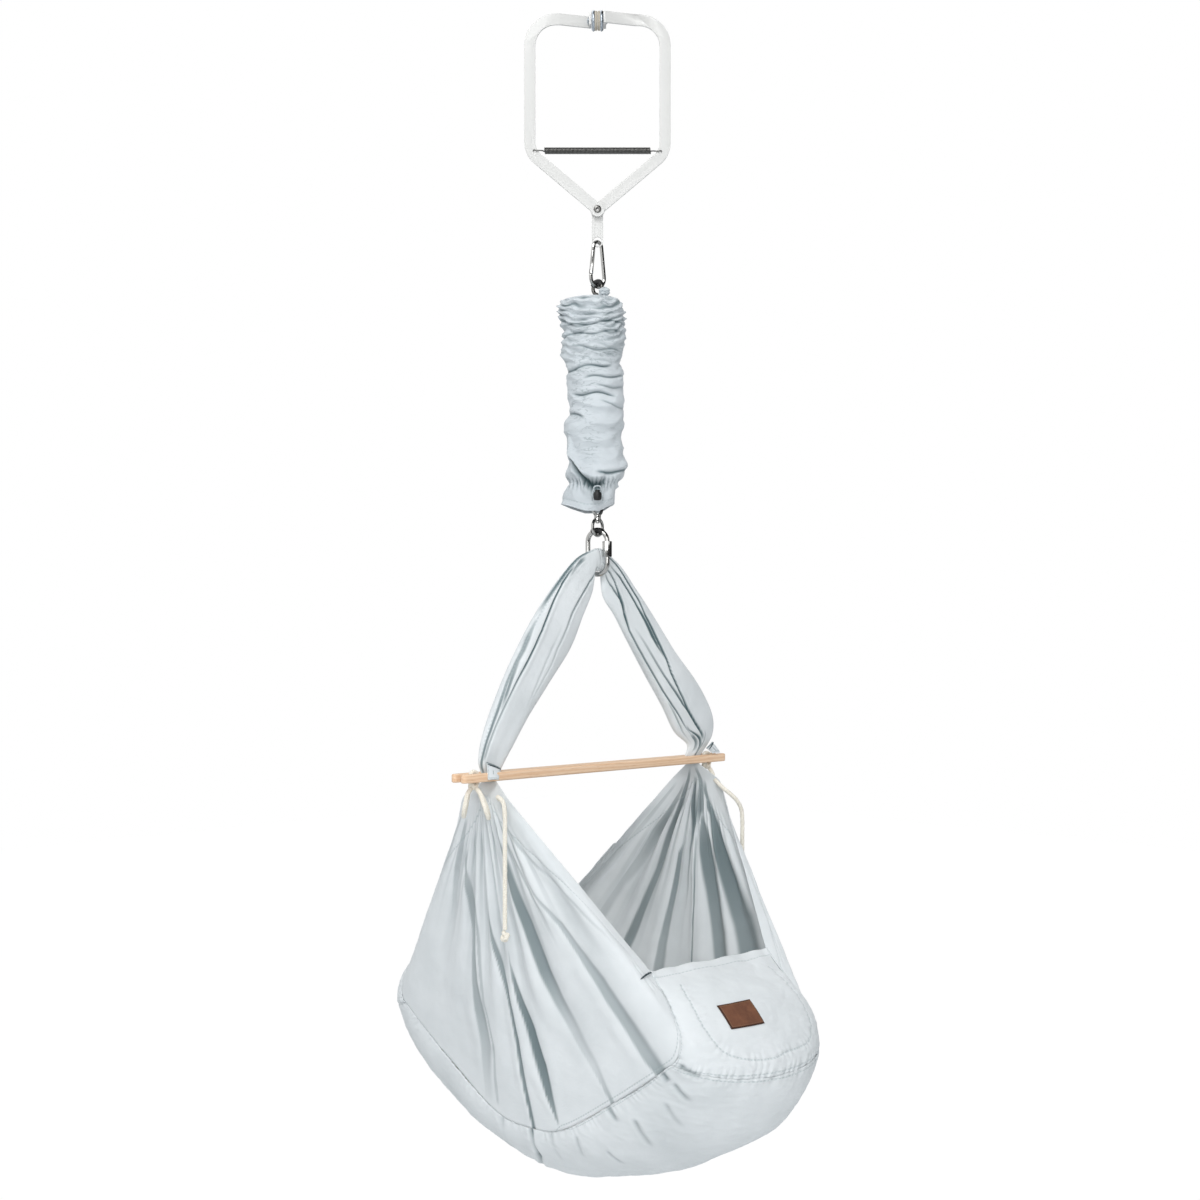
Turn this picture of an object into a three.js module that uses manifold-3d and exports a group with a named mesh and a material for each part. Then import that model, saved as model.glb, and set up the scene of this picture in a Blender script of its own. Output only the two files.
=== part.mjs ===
// Hanging baby cradle: a sprung door clamp, a snap hook, a bounce spring in a cloth sleeve, a swivel and
// a quick link carry two folded slings, which hold a forked beech bar and the pleated cloth seat.
// Millimetres, +Z up. X runs along the bar, -Y is the end with the label, and the origin is where the
// clamp's two pads meet, so everything hangs below it.

import * as THREE from 'three';
import { mergeVertices } from 'three/addons/utils/BufferGeometryUtils.js';
import Module from 'manifold-3d';

const wasm = await Module();
wasm.setup();

// Clearances
const seatGap = 0.3;
const runGap = 0.3;
const clothGap = 1;
const overrun = 1;

// Points to each curl of a spring, and around a gather or a lashing
const curlSteps = 8;
const ringSteps = 16;

// Door clamp
const clampTurn = -Math.PI / 4;
const clampWidth = 234;
const clampHeight = 303;
const barWidth = 18;
const barThickness = 4;
const topCornerRadius = 41;
const lowCornerRadius = 36;
const diagonalRise = 91;
const foldInset = 48;
const foldSkew = THREE.MathUtils.degToRad(19);
const flangeReach = 12;
const eyeRadius = 11.5;

const rivetShankRadius = 4;
const rivetHoleRadius = 2.4;
const rivetHeadRadius = 6.1;
const rivetHeadHeight = 1.5;

const padRadius = 16.5;
const padCupDepth = 5;
const padFaceDepth = 4;
const padFaceInset = 1.2;
const padRimRound = 1.2;
const padStudRadius = 3;
const padHeadRadius = 5.5;
const padHeadHeight = 2.2;

const clampSpringRise = 93;
const clampSpringBody = 169;
const clampSpringRadius = 4.1;
const clampSpringWire = 3;
const clampSpringCurls = 30;
const clampSpringLeg = 8;
const hookHoleRadius = 2.3;
const hookHoleInset = 6;

const linkThickness = 2.5;
const linkLength = 50;
const linkHoleRadius = 7.1;

// Snap hook
const snapWire = 6;
const snapNoseRadius = 9;
const snapBaseRadius = 15;
const snapCentres = 48;
const noseSink = 0.6;
const gateTopInset = 6;
const gatePinInset = 5;
const gateRadius = 3.3;
const gateNeckShare = 0.8;
const tongueThickness = 2;
const tongueLength = 4.5;
const gatePinRadius = 1.2;

// Main spring, its tube and its cloth cover
const springWire = 6;
const springRadius = 19;
const springCurls = 15;
const springPitch = 15;
const hookRadius = 10;
const hookTubeWall = 1.5;
const hookTubeArc = THREE.MathUtils.degToRad(140);
const hookArc = THREE.MathUtils.degToRad(285);
const springLength = 357;
const coilRun = 24;

const coverRadius = 50;
const coverWall = 2;
const coverFoot = 6;
const coverWrinkle = 2.2;

// Swivel
const swivelWire = 5;
const upperEyeRadius = 9.5;
const swivelCollarRadius = 5.5;
const swivelBossHeight = 6.4;
const swivelPinRadius = 2.2;
const swivelPinHead = 3.6;
const swivelPinHeadHeight = 3;
const lowerEyeWidth = 24;
const lowerEyeHeight = 27;
const lowerEyeTurn = THREE.MathUtils.degToRad(5);

// Quick link
const quickTurn = THREE.MathUtils.degToRad(-70);
const quickWire = 8;
const quickRadius = 17;
const quickStraight = 36;
const quickTubeWall = 1;
const quickTubeArc = THREE.MathUtils.degToRad(66);
const nutLength = 25;
const nutFlats = 13;
const gapInset = 3;
const gapLength = 10;
const nutChamfer = 1.2;

// Cord stop of the cover
const stopRadius = 6.5;
const stopHeight = 13;
const stopBore = 4.2;
const stopPlungerRise = 3.5;
const stopRise = 24;
const stopShare = 0.93;
const coverCordDiameter = 2.6;
const coverCordLoop = 8;

// Slings
const slingCentres = 456;
const slingHalfWidth = 19.5;
const slingTopHalf = 18;
const slingBottomClearance = 0.6;
const slingNeck = 4.4;
const slingDepth = 17;
const slingTopDepth = 7;
const slingFoldShare = 0.09;

// Spreader bar
const spreaderDrop = 1193;
const spreaderLength = 590;
const spreaderWidth = 32;
const spreaderHeight = 13;
const forkSlot = 10;
const prongRound = 5;
const spreaderEdge = 1.5;

// Cloth seat
const clothThickness = 2;
const gatherDrop = 33;
const gatherLap = 8;
const gatherRipple = 0.12;
const gatherHalf = 52;
const gatherInset = 10;
const rimDrop = 276;
const seatDepth = 366;
const seatHalfLength = 385;
const rimHalfWidth = 130;
const seamHalfWidth = 150;
const seamWidestShare = 0.36;
const pleats = 9;
const pleatDepth = 9;
const endShare = 0.31;

const mattressThickness = 34;
const mattressLengthShare = 0.54;
const mattressWidthShare = 0.56;
const mattressEdgeShare = 0.25;
const mattressLift = 7;

const labelWidth = 66;
const labelHeight = 42;
const labelThickness = 1.6;
const labelShift = -40;
const labelPlaceShare = 0.084;

// Draw cords of the seat
const cordDiameter = 7;
const tailKnotRadius = 7.5;
const tailKnotStretch = [1, 0.85, 1.3];
const lashingHalf = 11;
const lashingRise = 3;
const lashingShift = 34;
const knotRadius = 9;
const knotDrop = 9;
const knotStretch = [1.05, 0.9, 0.72];

// Worked out from the sizes above
const clothRoom = clothThickness / 2 + 2 * runGap;
const legCentre = (clampWidth - barWidth) / 2;
const clampSpringDrop = clampHeight - clampSpringRise;
const linkY = 0;
const rightArmY = linkY - linkThickness / 2 - seatGap - barThickness / 2;
const leftArmY = rightArmY - seatGap - barThickness;
const linkHoleZ = -clampHeight - linkLength;
const snapTopZ = linkHoleZ - noseSink;
const snapBottomZ = snapTopZ - snapNoseRadius - snapCentres - snapBaseRadius;
const hookTubeRadius = springWire / 2 + runGap + hookTubeWall;
const hookTopZ = snapBottomZ + snapWire / 2 + seatGap + hookTubeRadius;
const upperHookZ = hookTopZ - hookRadius;
const lowerHookZ = upperHookZ - springLength + 2 * hookRadius - springWire / 2;
const upperEyeTopZ = lowerHookZ - hookRadius + springWire / 2 + seatGap + swivelWire / 2;
const upperEyeZ = upperEyeTopZ - upperEyeRadius;
const collarBottomZ = upperEyeZ - upperEyeRadius - swivelWire / 2 - seatGap;
const lowerEyeTopZ = collarBottomZ - seatGap - swivelWire / 2;
const lowerEyeBottomZ = lowerEyeTopZ - lowerEyeHeight;
const quickTubeRadius = quickWire / 2 + runGap + quickTubeWall;
const quickTopZ = lowerEyeBottomZ + swivelWire / 2 + seatGap + quickTubeRadius;
const quickUpperZ = quickTopZ - quickRadius;
const quickLowerZ = quickUpperZ - quickStraight;
const quickBottomZ = quickLowerZ - quickRadius;
const slingTopZ = quickBottomZ + quickWire / 2 + slingBottomClearance + slingTopHalf;
const rimZ = -spreaderDrop - rimDrop;
const slingSpread = slingCentres / 2;
const forkFloor = slingSpread - slingHalfWidth - seatGap;

// Materials
const paint = new THREE.MeshStandardMaterial({ color: 0xe6e6e4, roughness: 0.4, metalness: 0 });
const zinc = new THREE.MeshStandardMaterial({ color: 0xb9c2ca, roughness: 0.3, metalness: 1 });
const springSteel = new THREE.MeshStandardMaterial({ color: 0x6f6f70, roughness: 0.3, metalness: 1 });
const polishedSteel = new THREE.MeshStandardMaterial({ color: 0xc4c4c2, roughness: 0.2, metalness: 1 });
const blackPlastic = new THREE.MeshStandardMaterial({ color: 0x141415, roughness: 0.5, metalness: 0 });
const greyRubber = new THREE.MeshStandardMaterial({ color: 0xa9a294, roughness: 0.8, metalness: 0 });
const cotton = new THREE.MeshStandardMaterial({ color: 0xd9e1e4, roughness: 0.95, metalness: 0 });
const beech = new THREE.MeshStandardMaterial({ color: 0xddb893, roughness: 0.6, metalness: 0 });
const cordCotton = new THREE.MeshStandardMaterial({ color: 0xe5ded0, roughness: 0.95, metalness: 0 });
const leather = new THREE.MeshStandardMaterial({ color: 0x784a35, roughness: 0.6, metalness: 0 });
const wool = new THREE.MeshStandardMaterial({ color: 0xefece4, roughness: 1, metalness: 0 });

const cradle = new THREE.Group();

// Geometry helpers

function closed(geometry) {
  geometry.deleteAttribute('normal');
  geometry.deleteAttribute('uv');
  const merged = mergeVertices(geometry, 1e-4);
  const at = merged.attributes.position;
  const index = merged.index.array;
  const [a, b, c] = [new THREE.Vector3(), new THREE.Vector3(), new THREE.Vector3()];
  let volume = 0;
  for (let i = 0; i < index.length; i += 3) {
    a.fromBufferAttribute(at, index[i]);
    b.fromBufferAttribute(at, index[i + 1]);
    c.fromBufferAttribute(at, index[i + 2]);
    volume += a.dot(b.cross(c));
  }
  if (volume < 0) {
    for (let i = 0; i < index.length; i += 3) [index[i], index[i + 1]] = [index[i + 1], index[i]];
  }
  return merged;
}

function solid(geometry) {
  const merged = closed(geometry);
  return new wasm.Manifold(new wasm.Mesh({
    numProp: 3,
    vertProperties: new Float32Array(merged.attributes.position.array),
    triVerts: new Uint32Array(merged.index.array),
  }));
}

function geometryOf(manifold) {
  const mesh = manifold.getMesh();
  const geometry = new THREE.BufferGeometry();
  geometry.setAttribute('position', new THREE.BufferAttribute(mesh.vertProperties, 3));
  geometry.setIndex(new THREE.BufferAttribute(mesh.triVerts, 1));
  return geometry;
}

function piece(name, shape, material, parent = cradle) {
  const geometry = shape instanceof THREE.BufferGeometry ? closed(shape) : geometryOf(shape);
  geometry.computeVertexNormals();
  const mesh = new THREE.Mesh(geometry, material);
  mesh.name = name;
  parent.add(mesh);
  return mesh;
}

// A grid of rings: rings[i][j] are points, each ring closed, joined to the next and capped at both ends.
function loft(rings) {
  const around = rings[0].length;
  const points = rings.flat();
  const faces = [];
  for (let i = 0; i + 1 < rings.length; i += 1) {
    for (let j = 0; j < around; j += 1) {
      const k = (j + 1) % around;
      const [a, b, c, d] = [i * around + j, i * around + k, (i + 1) * around + k, (i + 1) * around + j];
      faces.push(a, b, c, a, c, d);
    }
  }
  for (const [ring, turn] of [[0, 1], [rings.length - 1, 0]]) {
    const centre = rings[ring].reduce((sum, p) => sum.add(p), new THREE.Vector3()).divideScalar(around);
    points.push(centre);
    for (let j = 0; j < around; j += 1) {
      const [a, b] = [ring * around + j, ring * around + (j + 1) % around];
      faces.push(points.length - 1, turn ? b : a, turn ? a : b);
    }
  }
  return new THREE.BufferGeometry().setFromPoints(points).setIndex(faces);
}

// A round tube on a list of points, each ring carried on from the last so that it never twists.
function tube(points, radius, sides, looped = false) {
  const count = points.length;
  const rings = [];
  let side = null;
  for (let i = 0; i < count; i += 1) {
    const before = points[looped ? (i + count - 1) % count : Math.max(i - 1, 0)];
    const after = points[looped ? (i + 1) % count : Math.min(i + 1, count - 1)];
    const along = after.clone().sub(before).normalize();
    if (!side) side = Math.abs(along.z) < 0.9 ? new THREE.Vector3(0, 0, 1) : new THREE.Vector3(0, 1, 0);
    side = side.clone().addScaledVector(along, -side.dot(along)).normalize();
    const up = along.clone().cross(side);
    rings.push(Array.from({ length: sides }, (_, j) => {
      const angle = (2 * Math.PI * j) / sides;
      return points[i].clone()
        .addScaledVector(side, radius * Math.cos(angle))
        .addScaledVector(up, radius * Math.sin(angle));
    }));
  }
  if (!looped) return loft(rings);
  const flat = rings.flat();
  const faces = [];
  for (let i = 0; i < count; i += 1) {
    for (let j = 0; j < sides; j += 1) {
      const [k, n] = [(j + 1) % sides, (i + 1) % count];
      const [a, b, c, d] = [i * sides + j, i * sides + k, n * sides + k, n * sides + j];
      faces.push(a, b, c, a, c, d);
    }
  }
  return new THREE.BufferGeometry().setFromPoints(flat).setIndex(faces);
}

// A round or hollow section carried along a smooth curve.
function sweep(points, radius, sides, steps, bore = 0) {
  const section = new THREE.Shape(circlePoints(radius, sides));
  if (bore) section.holes.push(new THREE.Path(circlePoints(bore, sides).reverse()));
  const extrudePath = new THREE.CatmullRomCurve3(points, false, 'centripetal');
  return new THREE.ExtrudeGeometry(section, { steps, extrudePath, bevelEnabled: false });
}

function circlePoints(radius, sides) {
  return Array.from({ length: sides }, (_, j) => {
    const angle = (2 * Math.PI * j) / sides;
    return new THREE.Vector2(radius * Math.cos(angle), radius * Math.sin(angle));
  });
}

// Cloth with a thickness: place(u, v) is its middle, for u and v from 0 to 1.
function cloth(columns, rows, place, thickness = () => [clothThickness / 2, clothThickness / 2]) {
  const reach = 1e-3;
  const faceOf = (u, v) => {
    const [u0, u1] = [Math.max(u - reach, 0), Math.min(u + reach, 1)];
    const [v0, v1] = [Math.max(v - reach, 0), Math.min(v + reach, 1)];
    const along = place(u1, v).sub(place(u0, v));
    const across = place(u, v1).sub(place(u, v0));
    return along.cross(across).normalize();
  };
  const [front, back] = [[], []];
  for (let i = 0; i <= columns; i += 1) {
    for (let j = 0; j <= rows; j += 1) {
      const [u, v] = [i / columns, j / rows];
      const [out, inner] = thickness(u, v);
      const normal = faceOf(u, v);
      front.push(place(u, v).addScaledVector(normal, out));
      back.push(place(u, v).addScaledVector(normal, -inner));
    }
  }
  const faces = [];
  const offset = front.length;
  const at = (i, j) => i * (rows + 1) + j;
  const quad = (a, b, c, d) => faces.push(a, b, c, a, c, d);
  for (let i = 0; i < columns; i += 1) {
    for (let j = 0; j < rows; j += 1) {
      quad(at(i, j), at(i + 1, j), at(i + 1, j + 1), at(i, j + 1));
      quad(offset + at(i, j), offset + at(i, j + 1), offset + at(i + 1, j + 1), offset + at(i + 1, j));
    }
  }
  for (let i = 0; i < columns; i += 1) {
    quad(at(i, 0), offset + at(i, 0), offset + at(i + 1, 0), at(i + 1, 0));
    quad(at(i + 1, rows), offset + at(i + 1, rows), offset + at(i, rows), at(i, rows));
  }
  for (let j = 0; j < rows; j += 1) {
    quad(at(0, j + 1), offset + at(0, j + 1), offset + at(0, j), at(0, j));
    quad(at(columns, j), offset + at(columns, j), offset + at(columns, j + 1), at(columns, j + 1));
  }
  return new THREE.BufferGeometry().setFromPoints([...front, ...back]).setIndex(faces);
}

function cylinder(radius, length, sides = 24) {
  return new THREE.CylinderGeometry(radius, radius, length, sides);
}

function leastGap(name, points, wire, skip) {
  let least = Infinity;
  for (let i = 0; i < points.length; i += 1) {
    for (let j = i + skip; j < points.length; j += 1) least = Math.min(least, points[i].distanceTo(points[j]));
  }
  console.log(`${name}: least gap to itself ${(least - wire).toFixed(2)} mm`);
}

function arc(centreX, centreZ, radius, from, to, steps) {
  return Array.from({ length: steps + 1 }, (_, i) => {
    const angle = from + ((to - from) * i) / steps;
    return new THREE.Vector3(centreX + radius * Math.cos(angle), 0, centreZ + radius * Math.sin(angle));
  });
}

// A bent bar's middle line: straight runs with an arc at each inner corner.
function roundedLine(corners, radii, steps = 7) {
  const line = [corners[0]];
  for (let i = 1; i + 1 < corners.length; i += 1) {
    const into = corners[i].clone().sub(corners[i - 1]).normalize();
    const out = corners[i + 1].clone().sub(corners[i]).normalize();
    const turn = Math.acos(into.dot(out));
    const hand = Math.sign(into.cross(out));
    const start = corners[i].clone().addScaledVector(into, -radii[i - 1] * Math.tan(turn / 2));
    const centre = start.clone().add(new THREE.Vector2(-into.y, into.x).multiplyScalar(hand * radii[i - 1]));
    for (let k = 0; k <= steps; k += 1) line.push(start.clone().rotateAround(centre, (hand * turn * k) / steps));
  }
  line.push(corners[corners.length - 1]);
  return line;
}

function bandShape(line, halfWidth) {
  const edge = (side) => line.map((p, i) => {
    const along = line[Math.min(i + 1, line.length - 1)].clone().sub(line[Math.max(i - 1, 0)]).normalize();
    return p.clone().add(new THREE.Vector2(-along.y, along.x).multiplyScalar(side * halfWidth));
  });
  return new THREE.Shape([...edge(1), ...edge(-1).reverse()]);
}

// An outline drawn in X and Z, given its thickness along Y around y = 0.
function plate(shape, thickness) {
  const geometry = new THREE.ExtrudeGeometry(shape, { depth: thickness, bevelEnabled: false, curveSegments: 12 });
  return geometry.rotateX(Math.PI / 2).translate(0, thickness / 2, 0);
}

// Door clamp

const clamp = new THREE.Group();
clamp.rotation.z = clampTurn;
cradle.add(clamp);

const lowCorner = new THREE.Vector2(-legCentre, diagonalRise - clampHeight);
const armLine = roundedLine([
  new THREE.Vector2(foldInset - legCentre, 0),
  new THREE.Vector2(-legCentre, 0),
  lowCorner,
  new THREE.Vector2(0, -clampHeight),
], [topCornerRadius, lowCornerRadius]);

// The hook hole lies inside the low corner's inner edge, level with the spring.
const turnAngle = Math.PI / 2 - Math.atan2(diagonalRise, legCentre);
const lowArcZ = lowCorner.y + lowCornerRadius * Math.tan(turnAngle / 2);
const innerReach = Math.sqrt((lowCornerRadius - barWidth / 2) ** 2 - (clampSpringDrop + lowArcZ) ** 2);
const hookHoleX = legCentre - lowCornerRadius + innerReach + hookHoleInset;

function clampArm() {
  const foldX = foldInset - legCentre;
  const flangeX = -(padFaceDepth + padCupDepth + 2 * seatGap + runGap / 2 + barThickness / 2);
  const topRun = (flangeX - foldX) / Math.cos(foldSkew);
  const topReach = (flangeX - foldX) * Math.tan(foldSkew);
  let arm = solid(plate(bandShape(armLine, barWidth / 2), barThickness));
  const eye = solid(cylinder(eyeRadius, barThickness).translate(0, 0, -clampHeight));
  const top = solid(new THREE.BoxGeometry(topRun, barThickness, barWidth)
    .translate(topRun / 2, 0, 0).rotateZ(foldSkew).translate(foldX, 0, 0));
  const fold = solid(cylinder(barThickness / 2, barWidth, 12).rotateX(Math.PI / 2).translate(foldX, 0, 0));
  return { arm: arm.add(eye).add(top).add(fold), flangeX, topReach };
}

function finishedArm(armY, side) {
  const { arm, flangeX, topReach } = clampArm();
  // The flange runs from the top section's end, past the pad's middle at y = 0.
  const near = -side * armY - flangeReach;
  const far = topReach + barThickness / 2;
  const flange = solid(new THREE.BoxGeometry(barThickness, far - near, barWidth)
    .translate(flangeX, (far + near) / 2, 0));
  const cuts = [
    cylinder(rivetShankRadius + runGap, barThickness + 2 * overrun).translate(0, 0, -clampHeight),
    cylinder(hookHoleRadius, barThickness + 2 * overrun, 16).translate(-hookHoleX, 0, -clampSpringDrop),
    cylinder(padStudRadius + runGap, barThickness + 2 * overrun, 16)
      .rotateZ(Math.PI / 2).translate(flangeX, -side * armY, 0),
  ];
  let shape = arm.add(flange);
  for (const cut of cuts) shape = shape.subtract(solid(cut));
  return geometryOf(shape);
}

piece('clamp_arm_left', finishedArm(leftArmY, 1).translate(0, leftArmY, 0), paint, clamp);
piece('clamp_arm_right', finishedArm(rightArmY, -1).rotateZ(Math.PI).translate(0, rightArmY, 0), paint, clamp);

function clampRivet() {
  const front = leftArmY - barThickness / 2 - seatGap;
  const back = linkY + linkThickness / 2 + seatGap;
  const [hole, shank, head, rise] = [rivetHoleRadius, rivetShankRadius, rivetHeadRadius, rivetHeadHeight];
  const profile = [
    [hole, front - rise], [head - rise, front - rise], [head, front - rise / 2], [head, front], [shank, front],
    [shank, back], [head, back], [head, back + rise / 2], [head - rise, back + rise], [hole, back + rise],
    [hole, front - rise],
  ].map(([r, y]) => new THREE.Vector2(r, y));
  return new THREE.LatheGeometry(profile, 18).translate(0, 0, -clampHeight);
}
piece('clamp_rivet', clampRivet(), zinc, clamp);

function padCup() {
  const back = runGap / 2 + padFaceDepth + seatGap + padCupDepth;
  const front = back - padCupDepth;
  const head = back + barThickness + 2 * seatGap;
  const profile = [
    [0, front], [padRadius - padRimRound, front], [padRadius, front + padRimRound],
    [padRadius, back - 2 * padRimRound], [padRadius - 2 * padRimRound, back], [padStudRadius, back],
    [padStudRadius, head], [padHeadRadius, head], [padHeadRadius, head + padHeadHeight / 2],
    [padHeadRadius / 2, head + padHeadHeight], [0, head + padHeadHeight],
  ].map(([r, y]) => new THREE.Vector2(r, y));
  return new THREE.LatheGeometry(profile, 18).rotateZ(Math.PI / 2);
}

function padFace() {
  const radius = padRadius - padFaceInset;
  const front = runGap / 2;
  const profile = [
    [0, front], [radius - padRimRound, front], [radius, front + padRimRound],
    [radius, front + padFaceDepth], [0, front + padFaceDepth],
  ].map(([r, y]) => new THREE.Vector2(r, y));
  return new THREE.LatheGeometry(profile, 18).rotateZ(Math.PI / 2);
}
piece('pad_cup_left', padCup(), zinc, clamp);
piece('pad_face_left', padFace(), greyRubber, clamp);
piece('pad_cup_right', padCup().rotateZ(Math.PI), zinc, clamp);
piece('pad_face_right', padFace().rotateZ(Math.PI), greyRubber, clamp);

// The tension spring: one wire from the hook in the left corner, round its curls, to the right one.
function clampSpring() {
  const wire = clampSpringWire;
  const leftY = leftArmY - barThickness / 2 - seatGap - wire / 2;
  const rightY = rightArmY - barThickness / 2 - seatGap - wire / 2;
  const axisY = (leftY + rightY) / 2;
  const half = clampSpringBody / 2;
  const point = (x, y, z = 0) => new THREE.Vector3(x, y, z - clampSpringDrop);
  const hookEnd = barThickness + seatGap + wire;
  const points = [
    point(-hookHoleX, leftY + hookEnd), point(-hookHoleX, leftY + wire / 2), point(wire / 2 - hookHoleX, leftY),
    point(-half - clampSpringLeg, leftY), point(-half - clampSpringLeg / 2, (leftY + axisY) / 2),
  ];
  for (let i = 0; i <= clampSpringCurls * curlSteps; i += 1) {
    const angle = (2 * Math.PI * i) / curlSteps;
    const x = -half + (clampSpringBody * i) / (clampSpringCurls * curlSteps);
    points.push(point(x, axisY + clampSpringRadius * Math.cos(angle), clampSpringRadius * Math.sin(angle)));
  }
  points.push(
    point(half + clampSpringLeg / 2, (rightY + axisY) / 2), point(half + clampSpringLeg, rightY),
    point(hookHoleX - wire / 2, rightY), point(hookHoleX, rightY + wire / 2), point(hookHoleX, rightY + hookEnd),
  );
  leastGap('clamp_spring', points.slice(5, 5 + curlSteps * 6), wire, 6);
  return tube(points, wire / 2, 5);
}
piece('clamp_spring', clampSpring(), springSteel, clamp);

function stadium(halfWidth, top, bottom) {
  const shape = new THREE.Shape();
  shape.absarc(0, top, halfWidth, 0, Math.PI, false);
  shape.absarc(0, bottom, halfWidth, Math.PI, 2 * Math.PI, false);
  return shape;
}

function clampLink() {
  const shape = stadium(barWidth / 2, -clampHeight, linkHoleZ);
  const rivetHole = new THREE.Path().absarc(0, -clampHeight, rivetShankRadius + runGap, 0, 2 * Math.PI, true);
  const ringHole = new THREE.Path().absarc(0, linkHoleZ, linkHoleRadius, 0, 2 * Math.PI, true);
  shape.holes.push(rivetHole, ringHole);
  return plate(shape, linkThickness).translate(0, linkY, 0);
}
piece('clamp_link', clampLink(), paint, clamp);

// Snap hook, in the plane of X and Z

const snapLean = Math.asin((snapBaseRadius - snapNoseRadius) / snapCentres);
const noseZ = snapTopZ - snapNoseRadius;
const baseZ = noseZ - snapCentres;
const gateFoot = new THREE.Vector3(-snapBaseRadius * Math.cos(snapLean), 0, baseZ + snapBaseRadius * Math.sin(snapLean));
const gateHead = new THREE.Vector3(-snapNoseRadius * Math.cos(snapLean), 0, noseZ + snapNoseRadius * Math.sin(snapLean));
const gateUp = gateHead.clone().sub(gateFoot).normalize();
const pinPlace = gateFoot.clone().addScaledVector(gateUp, gatePinInset);
const gateTop = gateHead.clone().addScaledVector(gateUp, -gateTopInset);
const gateTilt = Math.atan2(gateUp.x, gateUp.z);

// A block along the gate's line, from one distance above the pin to another.
function gateBlock(from, to, width, thickness) {
  return new THREE.BoxGeometry(width, thickness, to - from)
    .translate(0, 0, (from + to) / 2).rotateY(gateTilt).translate(pinPlace.x, 0, pinPlace.z);
}

const gateLength = gateTop.distanceTo(pinPlace);
const gateCorner = Math.hypot(gateRadius, gateRadius * gateNeckShare);
const tongueTop = 2.5 * gatePinRadius;
const tongueWidth = 0.8 * snapWire;

function snapBody() {
  // The body stops where the gate's corners clear it as they turn.
  const hinge = gateFoot.clone().addScaledVector(gateUp, gatePinInset - gateCorner - runGap);
  const line = [
    gateTop.clone().addScaledVector(gateUp, seatGap), gateHead.clone(),
    ...arc(0, noseZ, snapNoseRadius, Math.PI - snapLean, snapLean, 12).slice(1),
    ...arc(0, baseZ, snapBaseRadius, snapLean, -Math.PI - snapLean, 18).slice(0, -1),
    gateFoot.clone(), hinge,
  ];
  const latch = gateBlock(gateLength - tongueLength, gateLength + gateTopInset / 2, snapWire * 0.6, tongueThickness);
  const tongue = gateBlock(-gatePinInset - gateRadius / 2, tongueTop, tongueWidth, tongueThickness);
  const bore = cylinder((gatePinRadius + runGap), snapWire * 2, 12).translate(pinPlace.x, 0, pinPlace.z);
  return solid(tube(line, snapWire / 2, 10)).add(solid(latch)).add(solid(tongue)).subtract(solid(bore));
}
piece('carabiner_body', snapBody(), polishedSteel);

function snapGate() {
  const profile = [
    [0, -gateRadius], [gateRadius * gateNeckShare, -gateRadius], [gateRadius, -gateRadius / 2],
    [gateRadius, gateLength - gateRadius / 3], [gateRadius * gateNeckShare, gateLength], [0, gateLength],
  ].map(([r, y]) => new THREE.Vector2(r, y));
  const rod = new THREE.LatheGeometry(profile, 12)
    .rotateX(Math.PI / 2).rotateY(gateTilt).translate(pinPlace.x, 0, pinPlace.z);
  const slot = tongueThickness + 2 * runGap;
  const cuts = [
    gateBlock(-gateRadius - overrun, Math.hypot(tongueTop, tongueWidth / 2) + runGap, 4 * gateRadius, slot),
    gateBlock(gateLength - tongueLength - runGap, gateLength + overrun, 4 * gateRadius, slot),
    cylinder(gatePinRadius + runGap, 4 * gateRadius, 12).translate(pinPlace.x, 0, pinPlace.z),
  ];
  return cuts.reduce((shape, cut) => shape.subtract(solid(cut)), solid(rod));
}
piece('carabiner_gate', snapGate(), polishedSteel);
piece('carabiner_gate_pin', cylinder(gatePinRadius, 2 * gateRadius, 12).translate(pinPlace.x, 0, pinPlace.z), zinc);

// Main spring, its hooks in the plane of Y and Z: hook, curls and hook are one wire.

function mainSpring() {
  const steps = springCurls * curlSteps;
  const coilTop = (upperHookZ + lowerHookZ + springCurls * springPitch) / 2;
  const hook = (centre, up) => {
    const from = -up * Math.PI / 2;
    return arc(0, centre, hookRadius, from, from + up * hookArc, 14).map((p) => new THREE.Vector3(0, p.x, p.z));
  };
  const coilPoint = (i) => {
    const angle = (2 * Math.PI * i) / curlSteps;
    const z = coilTop - (springCurls * springPitch * i) / steps;
    return new THREE.Vector3(springRadius * Math.cos(angle), springRadius * Math.sin(angle), z);
  };
  const ease = (end, up) => [
    new THREE.Vector3(0, 0, end.z + up * coilRun),
    new THREE.Vector3(end.x * 0.12, -up * end.x * 0.1, end.z + up * coilRun * 0.75),
    new THREE.Vector3(end.x * 0.5, -up * end.x * 0.35, end.z + up * coilRun * 0.4),
    new THREE.Vector3(end.x * 0.85, -up * end.x * 0.4, end.z + up * coilRun * 0.15),
  ];
  const coil = Array.from({ length: steps + 1 }, (_, i) => coilPoint(i));
  const points = [
    ...hook(upperHookZ, 1).reverse(), ...ease(coil[0], 1), ...coil,
    ...ease(coil[steps], -1).reverse(), ...hook(lowerHookZ, -1),
  ];
  leastGap('main_spring', points, springWire, 6);
  return tube(points, springWire / 2, 5);
}
piece('main_spring', mainSpring(), springSteel);

function hookTube() {
  const line = arc(0, upperHookZ, hookRadius, (Math.PI - hookTubeArc) / 2, (Math.PI + hookTubeArc) / 2, 10)
    .map((p) => new THREE.Vector3(0, p.x, p.z));
  return sweep(line, hookTubeRadius, 8, 8, springWire / 2 + runGap);
}
piece('hook_tube', hookTube(), blackPlastic);

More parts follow.
